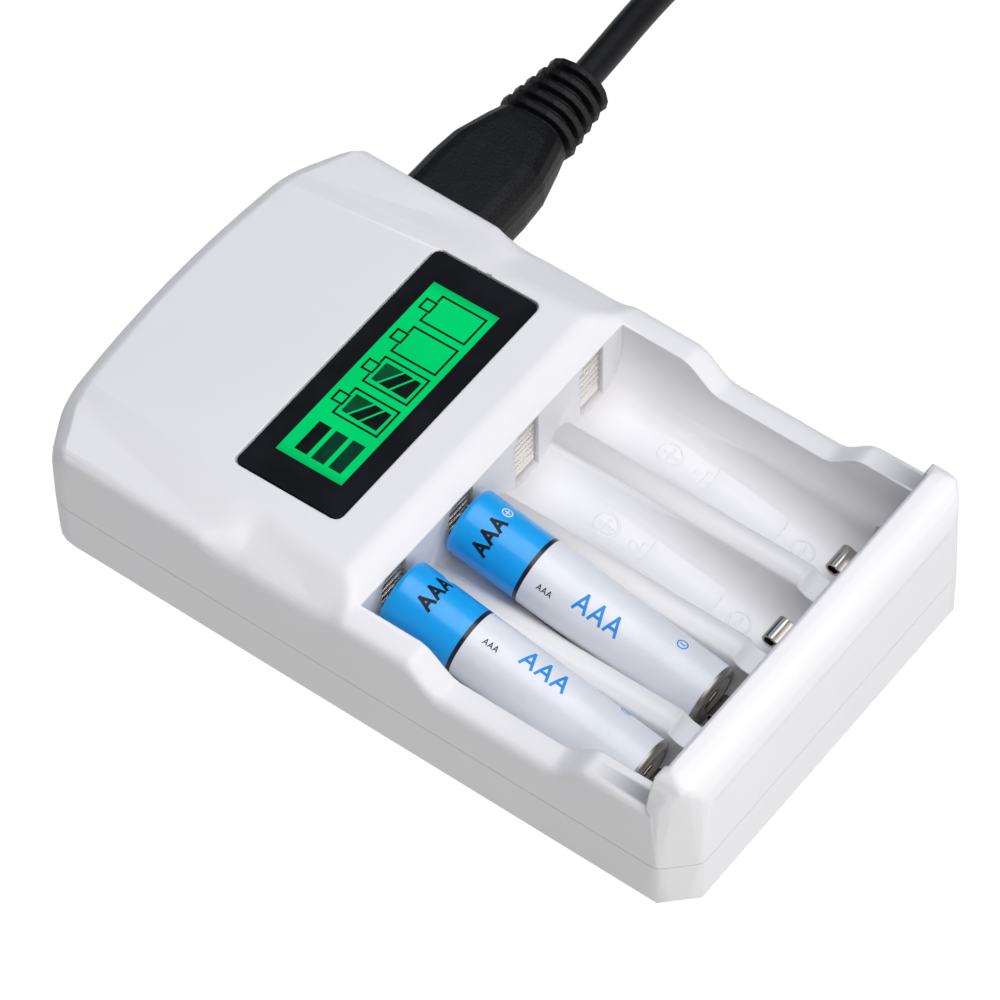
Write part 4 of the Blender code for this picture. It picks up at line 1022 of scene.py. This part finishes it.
def reliefRing(bm, bay, place, radius):
    lift, foot, bottom = trough["lift"], trough["foot"], trough["bottom"]
    outer, inside = [[(u, place + v) for u, v in ringOutline(size, trough["ringSteps"])]
                     for size in (radius, radius - trough["stroke"])]
    crown = [([(between(a[0], b[0], t), between(a[1], b[1], t)) for a, b in zip(outer, inside)], lift * share)
             for t, share in trough["bead"]]
    rows = [[bm.verts.new(onTrough(bay, u, along, height)) for u, along in outline]
            for outline, height in ((outer, foot), *crown, (inside, foot), (inside, bottom), (outer, bottom))]
    skin(bm, rows + rows[:1])


def gridRim(grid):
    last = len(grid) - 1
    return ([grid[i][0] for i in range(last)] + [grid[last][j] for j in range(last)]
            + [grid[last - i][last] for i in range(last)] + [grid[0][last - j] for j in range(last)])


def reliefPlate(bm, bay, u0, a0, u1, a1):
    share, widest = trough["slope"]
    inset = min(u1 - u0, a1 - a0, widest) * share
    last = trough["cuts"]
    us, alongs = [[low, *[between(low + inset, high - inset, i / (last - 2)) for i in range(last - 1)], high]
                  for low, high in ((u0, u1), (a0, a1))]  # across the bay and along it
    grids = []
    for lift, foot in ((trough["lift"], trough["foot"]), (trough["bottom"], trough["bottom"])):
        grids.append([[bm.verts.new(onTrough(bay, u, along, lift if 0 < i < last and 0 < j < last else foot))
                       for j, along in enumerate(alongs)] for i, u in enumerate(us)])
    for grid in grids:
        skin(bm, list(zip(*grid)), False)
    skin(bm, [gridRim(grid) for grid in grids])


def makeRelief():
    bm = bmesh.new()
    half = trough["stroke"] / 2
    for bay in range(len(bayPlaces)):
        for place, radius in (trough["plusRing"], trough["minusRing"]):
            arm = radius * trough["arm"]
            reliefRing(bm, bay, place, radius)
            reliefPlate(bm, bay, -arm, place - half, arm, place + half)
        place, radius = trough["plusRing"]
        arm = radius * trough["arm"]
        reliefPlate(bm, bay, -half, place + half, half, place + arm)
        reliefPlate(bm, bay, -half, place - arm, half, place - half)
        for start, end, side in trough["drawnCell"]:
            reliefPlate(bm, bay, -side, start, side, end)
    piece = meshPiece("troughSigns", bm, sharp=40)
    dress(housingWhite, piece)
    print("trough signs made")


makeRelief()


# Studio: four large soft lights and a floor that is pure white to the camera, as the cut-out background is.
# What the floor throws back on the charger is dimmer. All in metres.
studio = {
    "world": (0.9, 0.94, 1.0),
    "worldStrength": 0.04,
    "floorSize": 3.0,
    "floorDrop": 0.0001,
    "floorStrength": 1.02,
    "floorThrown": (0.76, 0.76, 0.77),
    "floorSeen": (1.0, 1.0, 1.0),
    "lights": [  # name, place, target, side, watts and colour
        ("overheadLight", (0.02, -0.08, 0.6), (0.0, -0.02, 0.0), 0.6, 3.3, (0.95, 0.95, 1.0)),
        ("rearLight", (0.5, 0.4, 0.86), (0.0, 0.0, 0.01), 0.5, 0.7, (0.6, 0.78, 1.0)),
        ("frontLight", (0.12, -0.75, 0.22), (0.0, 0.0, 0.01), 0.5, 2.4, (1.0, 0.98, 0.99)),
        ("sideLight", (-0.35, -0.5, 0.5), (0.0, 0.0, 0.01), 0.5, 1.75, (1.0, 0.97, 0.94)),
    ],
}


def makeFloor():
    bm = bmesh.new()
    bmesh.ops.create_grid(bm, x_segments=1, y_segments=1, size=studio["floorSize"])
    data = bpy.data.meshes.new("studioFloor")
    bm.to_mesh(data)
    bm.free()
    floor = bpy.data.objects.new("studioFloor", data)
    floor.location = (0.0, 0.0, -studio["floorDrop"])
    scene.collection.objects.link(floor)
    look = Recipe("studioFloor", Base_Color=(0.0, 0.0, 0.0), Roughness=1.0, Specular_IOR_Level=0.0,
                  Emission_Strength=studio["floorStrength"])
    seenByCamera = look.node("LightPath")
    look.set(Emission_Color=look.blend(seenByCamera, studio["floorThrown"], studio["floorSeen"]))
    floor.data.materials.append(look.material)


def makeWorld():
    world = bpy.data.worlds.new("studioWorld")
    world.use_nodes = True
    back = world.node_tree.nodes["Background"]
    back.inputs["Color"].default_value = (*studio["world"], 1.0)
    back.inputs["Strength"].default_value = studio["worldStrength"]
    scene.world = world


def makeLights():
    for name, place, target, side, watts, colour in studio["lights"]:
        lamp = bpy.data.lights.new(name, "AREA")
        lamp.shape = "SQUARE"
        lamp.size = side
        lamp.energy = watts
        lamp.color = colour
        piece = bpy.data.objects.new(name, lamp)
        piece.location = place
        piece.rotation_euler = (Vector(target) - Vector(place)).to_track_quat("-Z", "Y").to_euler()
        scene.collection.objects.link(piece)


makeFloor()
makeWorld()
makeLights()
scene.view_settings.view_transform = "Standard"
print("studio lit")

bpy.context.view_layer.update()
